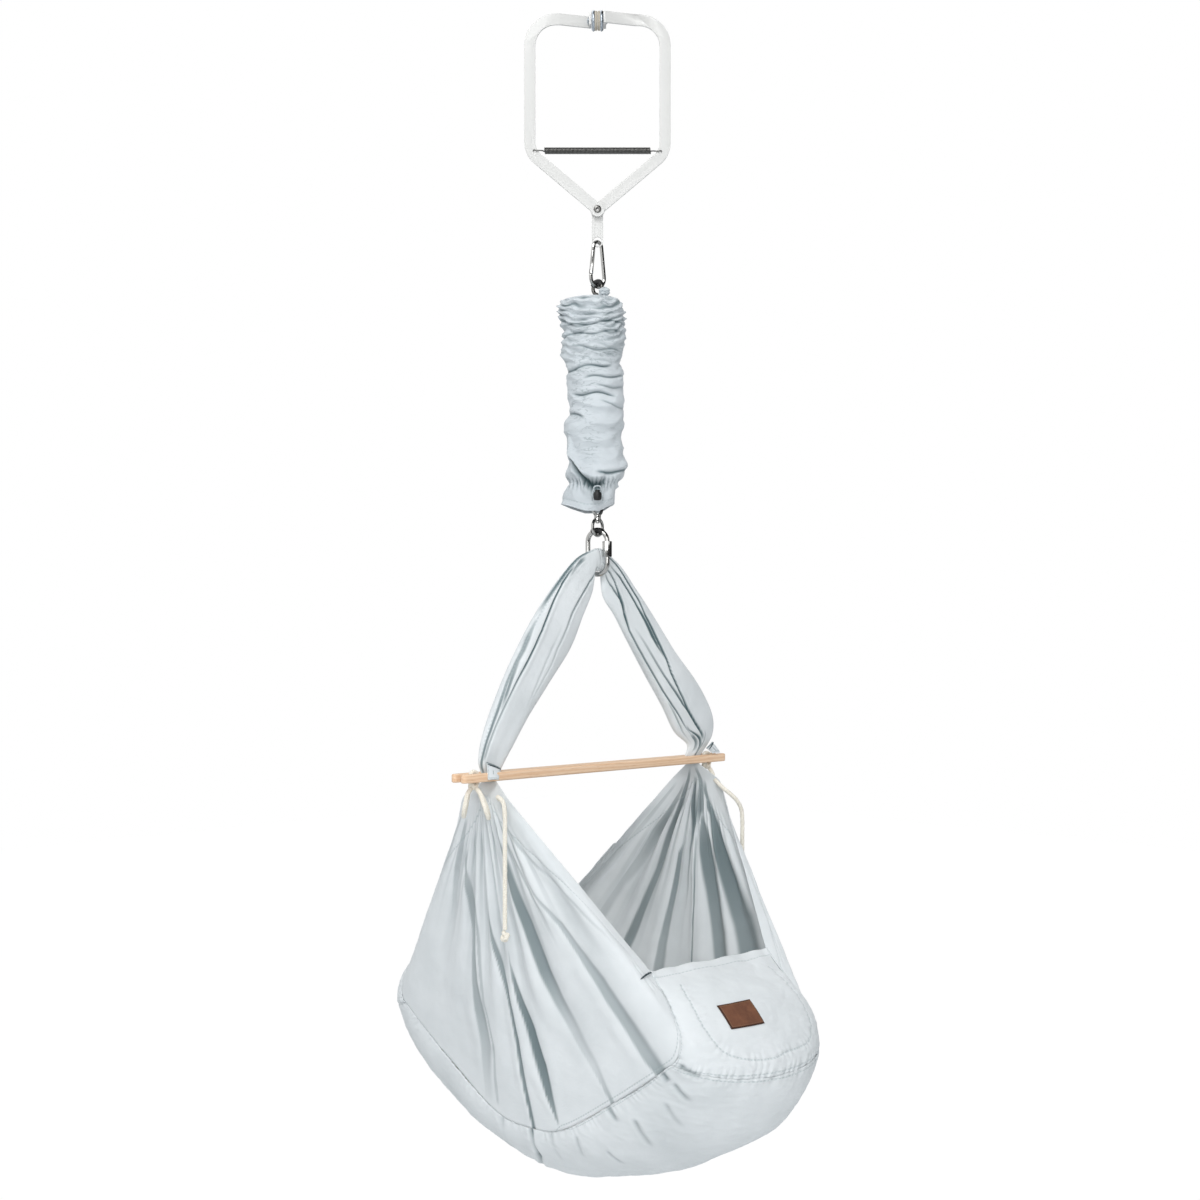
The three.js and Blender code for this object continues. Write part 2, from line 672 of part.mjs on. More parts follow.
// The cover: a gathered sleeve, closed round the spring's upper leg, open below.
const coverTopZ = upperHookZ - hookRadius - springWire / 2 - seatGap;
const coverBottomZ = upperEyeZ - coverFoot;
function springCover() {
  const height = coverTopZ - coverBottomZ;
  const hem = springWire / 2 + runGap + coverWall / 2;
  // Shares of the cover's height below its top, and of its radius.
  const profileShares = [
    [0.012, 0], [0, 0.12], [0.004, 0.5], [0.022, 0.86], [0.06, 1.06], [0.13, 1.12], [0.2, 1.06],
    [0.27, 0.98], [0.34, 1.02], [0.45, 0.99], [0.55, 1.03], [0.66, 0.98], [0.78, 1.0], [0.9, 0.97], [1, 0.9],
  ];
  const columns = 18;
  const place = (u, v) => {
    const spot = v * (profileShares.length - 1);
    const k = Math.min(Math.floor(spot), profileShares.length - 2);
    const blend = spot - k;
    const drop = THREE.MathUtils.lerp(profileShares[k][0], profileShares[k + 1][0], blend);
    const share = THREE.MathUtils.lerp(profileShares[k][1], profileShares[k + 1][1], blend);
    const angle = 2 * Math.PI * u;
    const wave = coverWrinkle * Math.min(share, 1) * Math.sin(3 * angle + 9 * drop * Math.PI);
    const radius = hem + (coverRadius - hem) * share + (share > 0.3 ? wave : 0);
    return new THREE.Vector3(radius * Math.cos(angle), radius * Math.sin(angle), coverTopZ - height * drop);
  };
  return roundCloth(columns, profileShares.length - 1, place, coverWall);
}

// Cloth that closes on itself in u.
function roundCloth(columns, rows, place, wall) {
  const reach = 1e-3;
  const [front, back] = [[], []];
  for (let i = 0; i < columns; i += 1) {
    for (let j = 0; j <= rows; j += 1) {
      const [u, v] = [i / columns, j / rows];
      const along = place(u + reach, v).sub(place(u - reach, v));
      const across = place(u, Math.min(v + reach, 1)).sub(place(u, Math.max(v - reach, 0)));
      const normal = along.cross(across).normalize();
      front.push(place(u, v).addScaledVector(normal, wall / 2));
      back.push(place(u, v).addScaledVector(normal, -wall / 2));
    }
  }
  const faces = [];
  const offset = front.length;
  const at = (i, j) => (i % columns) * (rows + 1) + j;
  const quad = (a, b, c, d) => faces.push(a, b, c, a, c, d);
  for (let i = 0; i < columns; i += 1) {
    for (let j = 0; j < rows; j += 1) {
      quad(at(i, j), at(i + 1, j), at(i + 1, j + 1), at(i, j + 1));
      quad(offset + at(i, j), offset + at(i, j + 1), offset + at(i + 1, j + 1), offset + at(i + 1, j));
    }
    quad(at(i, 0), offset + at(i, 0), offset + at(i + 1, 0), at(i + 1, 0));
    quad(at(i + 1, rows), offset + at(i + 1, rows), offset + at(i, rows), at(i, rows));
  }
  return new THREE.BufferGeometry().setFromPoints([...front, ...back]).setIndex(faces);
}
piece('spring_cover', springCover(), cotton);

// Swivel: an upper eye with its collar, a headed pin, and the oval eye that turns on it.

const swivel = new THREE.Group();
cradle.add(swivel);

function swivelUpper() {
  const ring = tube(arc(0, upperEyeZ, upperEyeRadius, 0, 2 * Math.PI, 20).slice(0, -1), swivelWire / 2, 8, true);
  const collarTop = upperEyeZ - upperEyeRadius + swivelWire / 4;
  const collar = cylinder(swivelCollarRadius, collarTop - collarBottomZ, 16).rotateX(Math.PI / 2)
    .translate(0, 0, (collarTop + collarBottomZ) / 2);
  const bore = cylinder(swivelPinRadius + runGap, swivelWire, 12).rotateX(Math.PI / 2)
    .translate(0, 0, collarBottomZ);
  return solid(ring).add(solid(collar)).subtract(solid(bore));
}
piece('swivel_upper', swivelUpper(), polishedSteel, swivel);

const bossTopZ = collarBottomZ - seatGap;
const bossBottomZ = bossTopZ - swivelBossHeight;
function swivelPin() {
  const top = collarBottomZ + swivelWire / 2 - seatGap;
  const head = bossBottomZ - seatGap;
  const profile = [
    [0, head - swivelPinHeadHeight], [swivelPinHead * 0.7, head - swivelPinHeadHeight],
    [swivelPinHead, head - swivelPinHeadHeight / 2], [swivelPinHead, head], [swivelPinRadius, head],
    [swivelPinRadius, top], [0, top],
  ].map(([r, y]) => new THREE.Vector2(r, y));
  return new THREE.LatheGeometry(profile, 12).rotateX(Math.PI / 2);
}
piece('swivel_pin', swivelPin(), polishedSteel, swivel);

function ovalLine(width, top, bottom) {
  const radius = width / 2;
  return [
    ...arc(0, top - radius, radius, 0, Math.PI, 12),
    ...arc(0, bottom + radius, radius, Math.PI, 2 * Math.PI, 12),
  ];
}

function swivelLower() {
  const ring = tube(ovalLine(lowerEyeWidth, lowerEyeTopZ, lowerEyeBottomZ), swivelWire / 2, 8, true);
  const boss = cylinder(swivelCollarRadius, swivelBossHeight, 16).rotateX(Math.PI / 2)
    .translate(0, 0, (bossTopZ + bossBottomZ) / 2);
  const bore = cylinder(swivelPinRadius + runGap, swivelBossHeight + 2 * overrun, 12).rotateX(Math.PI / 2)
    .translate(0, 0, (bossTopZ + bossBottomZ) / 2);
  return solid(ring).add(solid(boss)).subtract(solid(bore));
}
piece('swivel_lower', swivelLower(), polishedSteel, swivel).rotation.z = lowerEyeTurn;

// Quick link

const quick = new THREE.Group();
quick.rotation.z = quickTurn;
cradle.add(quick);

const gapTopZ = quickUpperZ - gapInset;
const gapBottomZ = gapTopZ - gapLength;
function quickLink() {
  const line = [
    new THREE.Vector3(quickRadius, 0, gapBottomZ),
    ...arc(0, quickLowerZ, quickRadius, 0, -Math.PI, 14),
    ...arc(0, quickUpperZ, quickRadius, Math.PI, 0, 14),
    new THREE.Vector3(quickRadius, 0, gapTopZ),
  ];
  return tube(line, quickWire / 2, 10);
}
piece('quick_link', quickLink(), polishedSteel, quick);

function quickNut() {
  const corner = nutFlats / Math.sqrt(3);
  const bore = quickWire / 2 + runGap;
  const half = nutLength / 2;
  const hexagon = cylinder(corner, nutLength, 6);
  const cone = new THREE.LatheGeometry([
    [0, -half], [nutFlats / 2, -half], [corner + overrun, nutChamfer - half],
    [corner + overrun, half - nutChamfer], [nutFlats / 2, half], [0, half],
  ].map(([r, y]) => new THREE.Vector2(r, y)), 18);
  const hole = cylinder(bore, nutLength + 2 * overrun, 18);
  return geometryOf(solid(hexagon).intersect(solid(cone)).subtract(solid(hole)))
    .rotateX(Math.PI / 2).translate(quickRadius, 0, quickUpperZ - half);
}
piece('quick_link_nut', quickNut(), zinc, quick);

function quickTube() {
  const line = arc(0, quickUpperZ, quickRadius, (Math.PI - quickTubeArc) / 2, (Math.PI + quickTubeArc) / 2, 8);
  return sweep(line, quickTubeRadius, 10, 6, quickWire / 2 + runGap);
}
piece('quick_link_tube', quickTube(), blackPlastic, quick);

// Cord stop and its cord loop, on the side of the cover that faces the photograph's view

const stopPlace = new THREE.Group();
stopPlace.rotation.z = clampTurn;
stopPlace.position.z = coverBottomZ + stopRise;
cradle.add(stopPlace);
const stopY = -(coverRadius * stopShare + coverWall / 2 + stopRadius + runGap);

function stopBody() {
  const half = stopHeight / 2;
  const profile = [
    [0, -half], [stopRadius * 0.75, -half], [stopRadius, -half * 0.5], [stopRadius, half * 0.5],
    [stopRadius * 0.85, half], [stopBore, half], [stopBore, -half * 0.4], [0, -half * 0.4],
  ].map(([r, y]) => new THREE.Vector2(r, y));
  return new THREE.LatheGeometry(profile, 18).rotateX(Math.PI / 2).translate(0, stopY, 0);
}
piece('cord_stop_body', stopBody(), blackPlastic, stopPlace);

function stopPlunger() {
  const half = stopHeight / 2;
  const radius = stopBore - runGap;
  const bottom = stopPlungerRise - half * 0.4 + seatGap;
  const profile = [
    [0, bottom], [radius, bottom], [radius, half + stopPlungerRise * 0.7],
    [radius * 0.7, half + stopPlungerRise], [0, half + stopPlungerRise],
  ].map(([r, y]) => new THREE.Vector2(r, y));
  return new THREE.LatheGeometry(profile, 16).rotateX(Math.PI / 2).translate(0, stopY, 0);
}
piece('cord_stop_plunger', stopPlunger(), blackPlastic, stopPlace);

// The cord leaves the cover's hem, loops up over the stop and ends against its side.
function coverCord() {
  const inner = -(coverRadius * stopShare + coverWall / 2 + 2 * runGap);
  const side = stopRadius + coverCordDiameter / 2 + seatGap;
  const top = stopHeight / 2 + coverCordLoop;
  const line = [
    new THREE.Vector3(-side, inner, -stopHeight / 2), new THREE.Vector3(-side, stopY, 0),
    new THREE.Vector3(-side * 0.9, stopY, stopHeight / 2), new THREE.Vector3(-side / 2, stopY, top),
    new THREE.Vector3(side / 2, stopY, top), new THREE.Vector3(side * 0.9, stopY, stopHeight / 2),
    new THREE.Vector3(side, stopY, 0), new THREE.Vector3(side, inner, -stopHeight / 2),
  ];
  return sweep(line, coverCordDiameter / 2, 8, 16);
}
piece('cover_cord', coverCord(), cordCotton, stopPlace);

// Slings: folded bundles from the quick link to the bar's forks

// Upper and lower edge as shares of the spread and of the drop from link to bar, then of the depth.
const slingShares = {
  left: [
    [0.21, 0.005, 0.056, -0.153, 0.4], [0.399, -0.11, 0.152, -0.272, 0.62], [0.607, -0.273, 0.279, -0.427, 0.85],
    [0.797, -0.464, 0.482, -0.583, 1], [0.959, -0.657, 0.678, -0.737, 0.95], [1.07, -0.82, 0.817, -0.87, 0.72],
    [1.107, -0.928, 0.898, -0.954, 0.4],
  ],
  right: [
    [0.221, -0.023, 0.055, -0.173, 0.4], [0.371, -0.13, 0.176, -0.269, 0.62], [0.568, -0.279, 0.324, -0.404, 0.85],
    [0.786, -0.451, 0.494, -0.558, 1], [1.038, -0.619, 0.668, -0.716, 0.95], [1.197, -0.774, 0.798, -0.853, 0.72],
    [1.206, -0.882, 0.933, -0.924, 0.4],
  ],
};

function sling(side) {
  const drop = slingTopZ + spreaderDrop;
  const station = (x1, z1, x2, z2, depth) => ({
    upper: new THREE.Vector3(x1, 0, z1), lower: new THREE.Vector3(x2, 0, z2), depth,
  });
  const level = (x, z) => station(x + slingHalfWidth, z, x - slingHalfWidth, z, slingNeck);
  const upright = (x) => station(x, slingTopZ + slingTopHalf, x, slingTopZ - slingTopHalf, slingTopDepth);
  const stations = [
    upright(seatGap / 2), upright(quickWire),
    ...slingShares[side < 0 ? 'left' : 'right'].map(([x1, z1, x2, z2, depth]) => station(
      x1 * slingSpread, slingTopZ + z1 * drop, x2 * slingSpread, slingTopZ + z2 * drop, depth * slingDepth,
    )),
    level(slingSpread, spreaderHeight / 2 + seatGap - spreaderDrop), level(slingSpread, seatGap / 2 - spreaderDrop),
  ];
  const around = 20;
  const last = stations.length - 1;
  const rings = stations.map(({ upper, lower, depth }, i) => {
    const middle = upper.clone().add(lower).multiplyScalar(0.5);
    const across = upper.clone().sub(lower).multiplyScalar(0.5);
    const folds = slingFoldShare * Math.sin((Math.PI * Math.max(i - 1, 0)) / (last - 1)) * (i < last ? 1 : 0);
    return Array.from({ length: around }, (_, j) => {
      const angle = (2 * Math.PI * j) / around;
      const share = 1 + folds * Math.cos(5 * angle + i * 0.4);
      const p = middle.clone().addScaledVector(across, share * Math.cos(angle));
      p.y += depth * share * Math.sin(angle);
      p.x *= side;
      return p;
    });
  });
  return loft(rings);
}
piece('sling_left', sling(-1), cotton);
piece('sling_right', sling(1), cotton);

// Spreader bar: one length of beech, forked and rounded at both ends

function spreaderBar() {
  const [end, half, slot] = [spreaderLength / 2, spreaderWidth / 2 - spreaderEdge, forkSlot / 2 + spreaderEdge];
  const round = Math.min(prongRound, (half - slot) / 2);
  const tip = end - spreaderEdge;
  const floor = forkFloor - spreaderEdge;
  const shape = new THREE.Shape();
  shape.moveTo(-tip + round, -half);
  shape.lineTo(tip - round, -half);
  shape.absarc(tip - round, -half + round, round, -Math.PI / 2, 0, false);
  shape.absarc(tip - round, -slot - round, round, 0, Math.PI / 2, false);
  shape.lineTo(floor, -slot);
  shape.lineTo(floor, slot);
  shape.absarc(tip - round, slot + round, round, -Math.PI / 2, 0, false);
  shape.absarc(tip - round, half - round, round, 0, Math.PI / 2, false);
  shape.absarc(round - tip, half - round, round, Math.PI / 2, Math.PI, false);
  shape.absarc(round - tip, slot + round, round, Math.PI, 1.5 * Math.PI, false);
  shape.lineTo(-floor, slot);
  shape.lineTo(-floor, -slot);
  shape.absarc(round - tip, -slot - round, round, Math.PI / 2, Math.PI, false);
  shape.absarc(round - tip, round - half, round, Math.PI, 1.5 * Math.PI, false);
  const geometry = new THREE.ExtrudeGeometry(shape, {
    depth: spreaderHeight - 2 * spreaderEdge, curveSegments: 4, bevelEnabled: true,
    bevelThickness: spreaderEdge, bevelSize: spreaderEdge, bevelSegments: 1,
  });
  return geometry.translate(0, 0, spreaderEdge - spreaderHeight / 2 - spreaderDrop);
}
piece('spreader_bar', spreaderBar(), beech);

// Cloth seat. Two curves in Y and Z shape it: its profile along the middle, and the seam where the
// side walls join. Both run from the near rim corner, share 0, to the far one, share 1.

// Shares of the half length and of the depth below the rim, from the rim corner to the middle.
const profileShares = [
  [0.623, 0], [0.79, 0.09], [0.909, 0.208], [1, 0.369], [0.995, 0.486], [0.909, 0.637],
  [0.779, 0.732], [0.519, 0.877], [0.26, 0.959], [0, 1],
];
const seamShares = [
  [0.623, 0], [0.74, 0.131], [0.808, 0.23], [0.8, 0.309], [0.74, 0.361], [0.455, 0.555], [0.166, 0.719], [0, 0.738],
];

function mirroredCurve(shares) {
  const near = shares.map(([y, z]) => new THREE.Vector3(0, -y * seatHalfLength, rimZ - z * seatDepth));
  const far = near.slice(0, -1).reverse().map((p) => new THREE.Vector3(0, -p.y, p.z));
  return new THREE.CatmullRomCurve3([...near, ...far], false, 'centripetal');
}
const profileCurve = mirroredCurve(profileShares);
const seamCurve = mirroredCurve(seamShares);

function seamPoint(share, side) {
  const p = seamCurve.getPointAt(THREE.MathUtils.clamp(share, 0, 1));
  const widening = THREE.MathUtils.smoothstep((rimZ - p.z) / seatDepth, 0, seamWidestShare);
  p.x = side * THREE.MathUtils.lerp(rimHalfWidth, seamHalfWidth, widening);
  return p;
}

// A point of the seat's floor and ends: along is the share from end to end, across runs from -1 to 1.
function seatPoint(along, across) {
  const middle = profileCurve.getPointAt(THREE.MathUtils.clamp(along, 0, 1));
  const seam = seamPoint(along, Math.sign(across) || 1);
  const rise = 1 - Math.sqrt(Math.max(1 - across * across, 0));
  return new THREE.Vector3(Math.abs(across) * seam.x,
    THREE.MathUtils.lerp(middle.y, seam.y, rise), THREE.MathUtils.lerp(middle.z, seam.z, rise));
}

function seatPanel(from, to, columns, rows) {
  const trim = clothGap / 2 / profileCurve.getLength();
  return cloth(columns, rows, (u, v) => {
    const along = THREE.MathUtils.lerp(from + trim, to - trim, u);
    // The angle stops short of the seam by the cloth's room there, whether the seat meets it
    // upright or level. Even steps of angle keep the facets even round the curved sides.
    const seam = seamPoint(along, 1);
    const sag = seam.distanceTo(seatPoint(along, 0).setX(seam.x));
    const edge = Math.min(clothRoom / Math.max(sag, clothRoom), Math.sqrt(2 * clothRoom / seam.x));
    return seatPoint(along, Math.sin((2 * v - 1) * (Math.PI / 2 - edge)));
  });
}
const endPart = endShare / 2;
piece('end_panel_near', seatPanel(0, endPart, 6, 12), cotton);
piece('end_panel_far', seatPanel(1 - endPart, 1, 6, 12), cotton);
piece('bottom_panel', seatPanel(endPart, 1 - endPart, 14, 12), cotton);

// Side wall: pleats that fan out from the gather at the bar's end down to the seam.
function sidePanel(side) {
  const topZ = -spreaderDrop - gatherDrop;
  const topX = slingSpread + gatherInset;
  const seat = clothGap / (rimDrop + seatDepth);
  const fan = cloth(pleats * 3, 6, (u, v) => {
    const across = 2 * u - 1;
    const top = new THREE.Vector3(side * topX, across * gatherHalf, topZ);
    const p = top.lerp(seamPoint(u, side), v * (1 - seat));
    const fade = (1 - across ** 8) * Math.sin(Math.PI * Math.min(v * 0.9 + 0.06, 1)) * (1 - 0.4 * v);
    p.x += side * pleatDepth * fade * Math.cos(2 * Math.PI * pleats * u);
    return p;
  });
  return solid(fan).add(solid(loft(gatherRings(side))));
}

// The gather: the wall's cloth drawn together through the fork and tied.
function gatherRings(side) {
  const lip = -spreaderDrop - spreaderHeight / 2 - seatGap;
  // Shares of the run from the bar's underside to past the fan's top, of half width and of half depth.
  const gatherShares = [[0, 1, 0], [0.18, 0.98, 0.22], [0.42, 0.85, 0.58], [0.72, 0.7, 0.86], [1, 0.5, 1]];
  const run = gatherDrop + gatherLap + lip + spreaderDrop;
  const stations = [
    [slingSpread, -spreaderDrop - seatGap / 2, slingHalfWidth, slingNeck],
    ...gatherShares.map(([z, a, b]) => [
      slingSpread + gatherInset * z, lip - run * z,
      slingHalfWidth * a, THREE.MathUtils.lerp(slingNeck, gatherHalf + pleatDepth / 2, b),
    ]),
  ];
  return stations.map(([x, z, a, b]) => Array.from({ length: ringSteps }, (_, j) => {
    const angle = (2 * Math.PI * j) / ringSteps;
    const ripple = 1 + (b > slingNeck * 1.5 ? gatherRipple : 0) * Math.cos(4 * angle);
    return new THREE.Vector3(side * (x + a * ripple * Math.cos(angle)), b * Math.sin(angle), z);
  }));
}
piece('side_panel_left', sidePanel(-1), cotton);
piece('side_panel_right', sidePanel(1), cotton);

// Mattress: a crowned pad with drawn-in edges, lying along the floor of the seat
function mattress() {
  const edge = (share) => Math.sqrt(Math.max(1 - (2 * share - 1) ** 6, 0));
  const place = (u, v) => seatPoint(0.5 + (u - 0.5) * mattressLengthShare, Math.sin((v - 0.5) * Math.PI * mattressWidthShare));
  const top = (u, v) => mattressThickness * THREE.MathUtils.lerp(mattressEdgeShare, 1, edge(u) * edge(v));
  const below = place(0.5, 0.5 + 1e-2).sub(place(0.5, 0.5)).x * (place(0.51, 0.5).y - place(0.5, 0.5).y) < 0;
  return cloth(12, 10, place, (u, v) => {
    const [low, high] = [-mattressLift - seatGap, mattressLift + seatGap + top(u, v)];
    return below ? [high, low] : [low, high];
  });
}
piece('mattress', mattress(), wool);

function label() {
  const reach = seamPoint(labelPlaceShare, 1).x;
  const wide = labelWidth / 2 / reach;
  const tall = labelHeight / 2 / profileCurve.getLength();
  const lift = clothThickness / 2 + seatGap + labelThickness / 2;
  return cloth(4, 4, (u, v) => {
    const place = labelPlaceShare + (2 * u - 1) * tall;
    const p = seatPoint(place, labelShift / reach + (2 * v - 1) * wide);
    const beyond = seatPoint(place + 1e-2, 0).sub(seatPoint(place, 0));
    const out = new THREE.Vector3(0, beyond.z, -beyond.y).normalize();
    return p.addScaledVector(out, lift);
  }, () => [labelThickness / 2, labelThickness / 2]);
}
piece('leather_label', label(), leather);

// Draw cords: lashed through each fork, knotted under it, with hanging bow loops and a tail

// Hand-chosen routes. The loops are drawn from the knot, x to the right and y away in the photograph's
// view; the tails in the part's own frame.
const rearLoop = [
  [4.8, -5.3, -4.9], [9, -13, -12], [11, -16, -22], [13, -16, -32], [14.5, -11, -41], [15, 0, -45.5],
  [14.5, 11, -41], [13, 16, -32], [11, 16, -22], [9, 13, -12], [4.8, 5.3, -4.9],
];
const frontLoop = [
  [4.5, -6.4, -3.5], [11, -18, -11], [15, -28, -20], [19, -34, -30], [22, -31, -40], [23, -20, -46],
  [22, -9, -41], [19, -5, -31], [14, -4, -19], [6.2, -2.1, -5.2],
];
const leftTail = [
  [-243.3, -37.4, -1224.2], [-249.1, -39.2, -1220.8], [-252, -44, -1220.5], [-252, -50, -1223], [-250.5, -53.5, -1229],
  [-249.5, -54.6, -1238], [-249, -55, -1250], [-249, -55, -1275], [-249, -55, -1305], [-249, -55, -1335],
  [-249, -55, -1365], [-249, -55, -1395], [-249, -55, -1416],
];
const rightTail = [
  [230.9, -47.5, -1226.5], [225.8, -52, -1225.7], [221.5, -58, -1226.5], [219, -66, -1230.5], [220.5, -75, -1237.5],
  [227.5, -84, -1246.5], [237, -89.5, -1257.5], [246, -91, -1272], [250, -90, -1290], [250, -90, -1315],
  [250, -90, -1345], [250, -90, -1378],
];
const vectors = (route, mirror = 1) => route.map(([x, y, z]) => new THREE.Vector3(mirror * x, y, z));

function cordKnot(side) {
  const top = spreaderHeight / 2 - spreaderDrop + lashingRise;
  const bottom = -spreaderHeight / 2 - spreaderDrop;
  const half = forkSlot / 2 - 2 * seatGap;
  const sections = [
    [top, 0.7, 0.6], [top - lashingRise, 1, 1], [bottom, 1, 1], [bottom - lashingRise, 0.8, 0.8],
  ];
  const x = side * (slingSpread + lashingShift);
  const lashing = loft(sections.map(([z, a, b]) => Array.from({ length: ringSteps }, (_, j) => {
    const angle = (2 * Math.PI * j) / ringSteps;
    return new THREE.Vector3(x + a * lashingHalf * Math.cos(angle), b * half * Math.sin(angle), z);
  })));
  const knot = new THREE.SphereGeometry(knotRadius, 10, 6).scale(...knotStretch).translate(x, 0, bottom - knotDrop + lashingRise);
  return solid(lashing).add(solid(knot));
}

function knotPlace(side) {
  const place = new THREE.Group();
  place.position.set(side * (slingSpread + lashingShift), 0, lashingRise - knotDrop - spreaderHeight / 2 - spreaderDrop);
  place.rotation.z = clampTurn;
  cradle.add(place);
  return place;
}
const leftKnot = knotPlace(-1);
const rightKnot = knotPlace(1);
const loopOf = (route, mirror) => sweep(vectors(route, mirror), cordDiameter / 2, 8, 15);
piece('cord_knot_left', cordKnot(-1), cordCotton);
piece('cord_knot_right', cordKnot(1), cordCotton);
piece('bow_loop_left_rear', loopOf(rearLoop, -1), cordCotton, leftKnot);
piece('bow_loop_left_front', loopOf(frontLoop, 1), cordCotton, leftKnot);
piece('bow_loop_right', loopOf(rearLoop, 1), cordCotton, rightKnot);
piece('cord_tail_left', sweep(vectors(leftTail), cordDiameter / 2, 8, 13), cordCotton);
piece('cord_tail_right', sweep(vectors(rightTail), cordDiameter / 2, 8, 15), cordCotton);

function tailKnot(route) {
  const [x, y, z] = route[route.length - 1];
  return new THREE.SphereGeometry(tailKnotRadius, 10, 6).rotateX(Math.PI / 2).scale(...tailKnotStretch)
    .translate(x, y, z - tailKnotRadius * tailKnotStretch[2] - seatGap);
}
piece('tail_knot_left', tailKnot(leftTail), cordCotton);
piece('tail_knot_right', tailKnot(rightTail), cordCotton);

export default cradle;
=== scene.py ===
import math

import bmesh
import bpy
import numpy as np
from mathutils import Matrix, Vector, noise


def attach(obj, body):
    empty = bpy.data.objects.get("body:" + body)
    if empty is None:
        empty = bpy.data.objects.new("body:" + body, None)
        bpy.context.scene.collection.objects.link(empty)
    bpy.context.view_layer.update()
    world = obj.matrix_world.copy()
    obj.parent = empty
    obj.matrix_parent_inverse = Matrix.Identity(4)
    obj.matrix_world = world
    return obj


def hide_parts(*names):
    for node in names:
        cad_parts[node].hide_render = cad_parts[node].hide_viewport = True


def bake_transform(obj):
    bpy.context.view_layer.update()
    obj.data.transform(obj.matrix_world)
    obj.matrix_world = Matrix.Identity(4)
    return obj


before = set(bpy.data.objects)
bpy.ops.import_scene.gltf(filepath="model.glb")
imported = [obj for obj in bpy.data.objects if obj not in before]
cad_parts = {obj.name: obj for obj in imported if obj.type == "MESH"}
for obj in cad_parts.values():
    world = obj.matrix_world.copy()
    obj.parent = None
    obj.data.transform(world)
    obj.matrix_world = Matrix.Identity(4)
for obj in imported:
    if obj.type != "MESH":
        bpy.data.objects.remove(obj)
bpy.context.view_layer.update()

# View
# The camera stands level in front of the hanging cradle, at the photograph's corner view. The cradle hangs
# over a white floor in front of a white wall of light, lit by large soft lamps.
view_turn = math.radians(-45)
eye_distance, eye_height = 2.95, -0.942
film_width, picture_width = 36, 1200
# Measured on the photograph, in its pixels: the focal length, and how far the view's middle is off.
focal_pixels, right_pixels, down_pixels = 1845, 2.5, 10
floor_size, floor_drop = 16, 2.35


def colour(code):
    parts = [int(code[i:i + 2], 16) / 255 for i in (1, 3, 5)]
    return [c / 12.92 if c <= 0.04045 else ((c + 0.055) / 1.055) ** 2.4 for c in parts] + [1]


def fill(tree, taker, settings):
    # Sets or links a node's inputs, by number or by name with _ for a space. What is no input is a property,
    # a node as a value is its first output in use, and stops are the places and tones of a colour ramp.
    for name, value in settings.items():
        key = name if isinstance(name, int) else name.replace("_", " ")
        if name == "stops":
            for place, _ in value[1:-1]:
                taker.color_ramp.elements.new(place)
            for step, (place, tone) in zip(taker.color_ramp.elements, value):
                step.position = place
                step.color = colour(tone) if isinstance(tone, str) else (tone, tone, tone, 1)
        elif isinstance(key, str) and key not in taker.inputs:
            setattr(taker, name, value)
        elif isinstance(value, bpy.types.Node):
            tree.links.new(next(out for out in value.outputs if out.enabled), taker.inputs[key])
        elif isinstance(value, bpy.types.NodeSocket):
            tree.links.new(value, taker.inputs[key])
        elif value is not None:
            taker.inputs[key].default_value = colour(value) if isinstance(value, str) else value


def node(tree, kind, at, *feeds, **settings):
    # Adds a node; feeds go to its inputs in their order, after the settings.
    new = tree.nodes.new(kind)
    new.location = at
    fill(tree, new, {**settings, **dict(enumerate(feeds))})
    return new


def material(name, **settings):
    # A new material with its node tree and its surface shader, which the settings fill.
    made = bpy.data.materials.new(name)
    made.use_nodes = True
    skin = made.node_tree.nodes["Principled BSDF"]
    fill(made.node_tree, skin, settings)
    return made, made.node_tree, skin


eye = bpy.data.objects.new("camera", bpy.data.cameras.new("camera"))
eye.location = (eye_distance * math.sin(view_turn), -eye_distance * math.cos(view_turn), eye_height)
eye.rotation_euler = (math.radians(90), 0, view_turn)
eye.data.sensor_width = film_width
eye.data.lens = film_width * focal_pixels / picture_width
eye.data.shift_x = right_pixels / picture_width
eye.data.shift_y = down_pixels / picture_width
bpy.context.scene.collection.objects.link(eye)
bpy.context.scene.camera = eye
bpy.context.scene.view_settings.view_transform = "Standard"

# Each lamp's place, the height it points at on the hanging line, its width in metres and its power in watts.
for name, place, height, size, power in (
    ("key_lamp", (-1.3, -3.5, 0.5), -1.2, 1.5, 9),
    ("high_lamp", (-2.4, -1.2, 1.6), -1.3, 1.8, 62),
    ("front_lamp", (-2.3, -2.4, -0.3), -1.35, 1.2, 26),
    ("back_lamp", (1.2, 1.6, 2.4), -1.2, 2.0, 16),
):
    lamp = bpy.data.objects.new(name, bpy.data.lights.new(name, "AREA"))
    lamp.data.energy = power
    lamp.data.size = size
    lamp.location = place
    lamp.rotation_euler = (Vector((0, 0, height)) - Vector(place)).to_track_quat("-Z", "Y").to_euler()
    bpy.context.scene.collection.objects.link(lamp)


def seen_directly(tree):
    path = node(tree, "ShaderNodeLightPath", (-600, 0))
    return node(tree, "ShaderNodeMath", (-250, 0), path.outputs["Is Camera Ray"],
                path.outputs["Is Transmission Ray"], operation="MAXIMUM")


world = bpy.data.worlds.new("white_room")
world.use_nodes = True
bpy.context.scene.world = world
room = world.node_tree
room.nodes.clear()
soft = node(room, "ShaderNodeBackground", (-200, 200), "#F4F6F8", 0.64)
white = node(room, "ShaderNodeBackground", (-200, -200), (1, 1, 1, 1), 1)
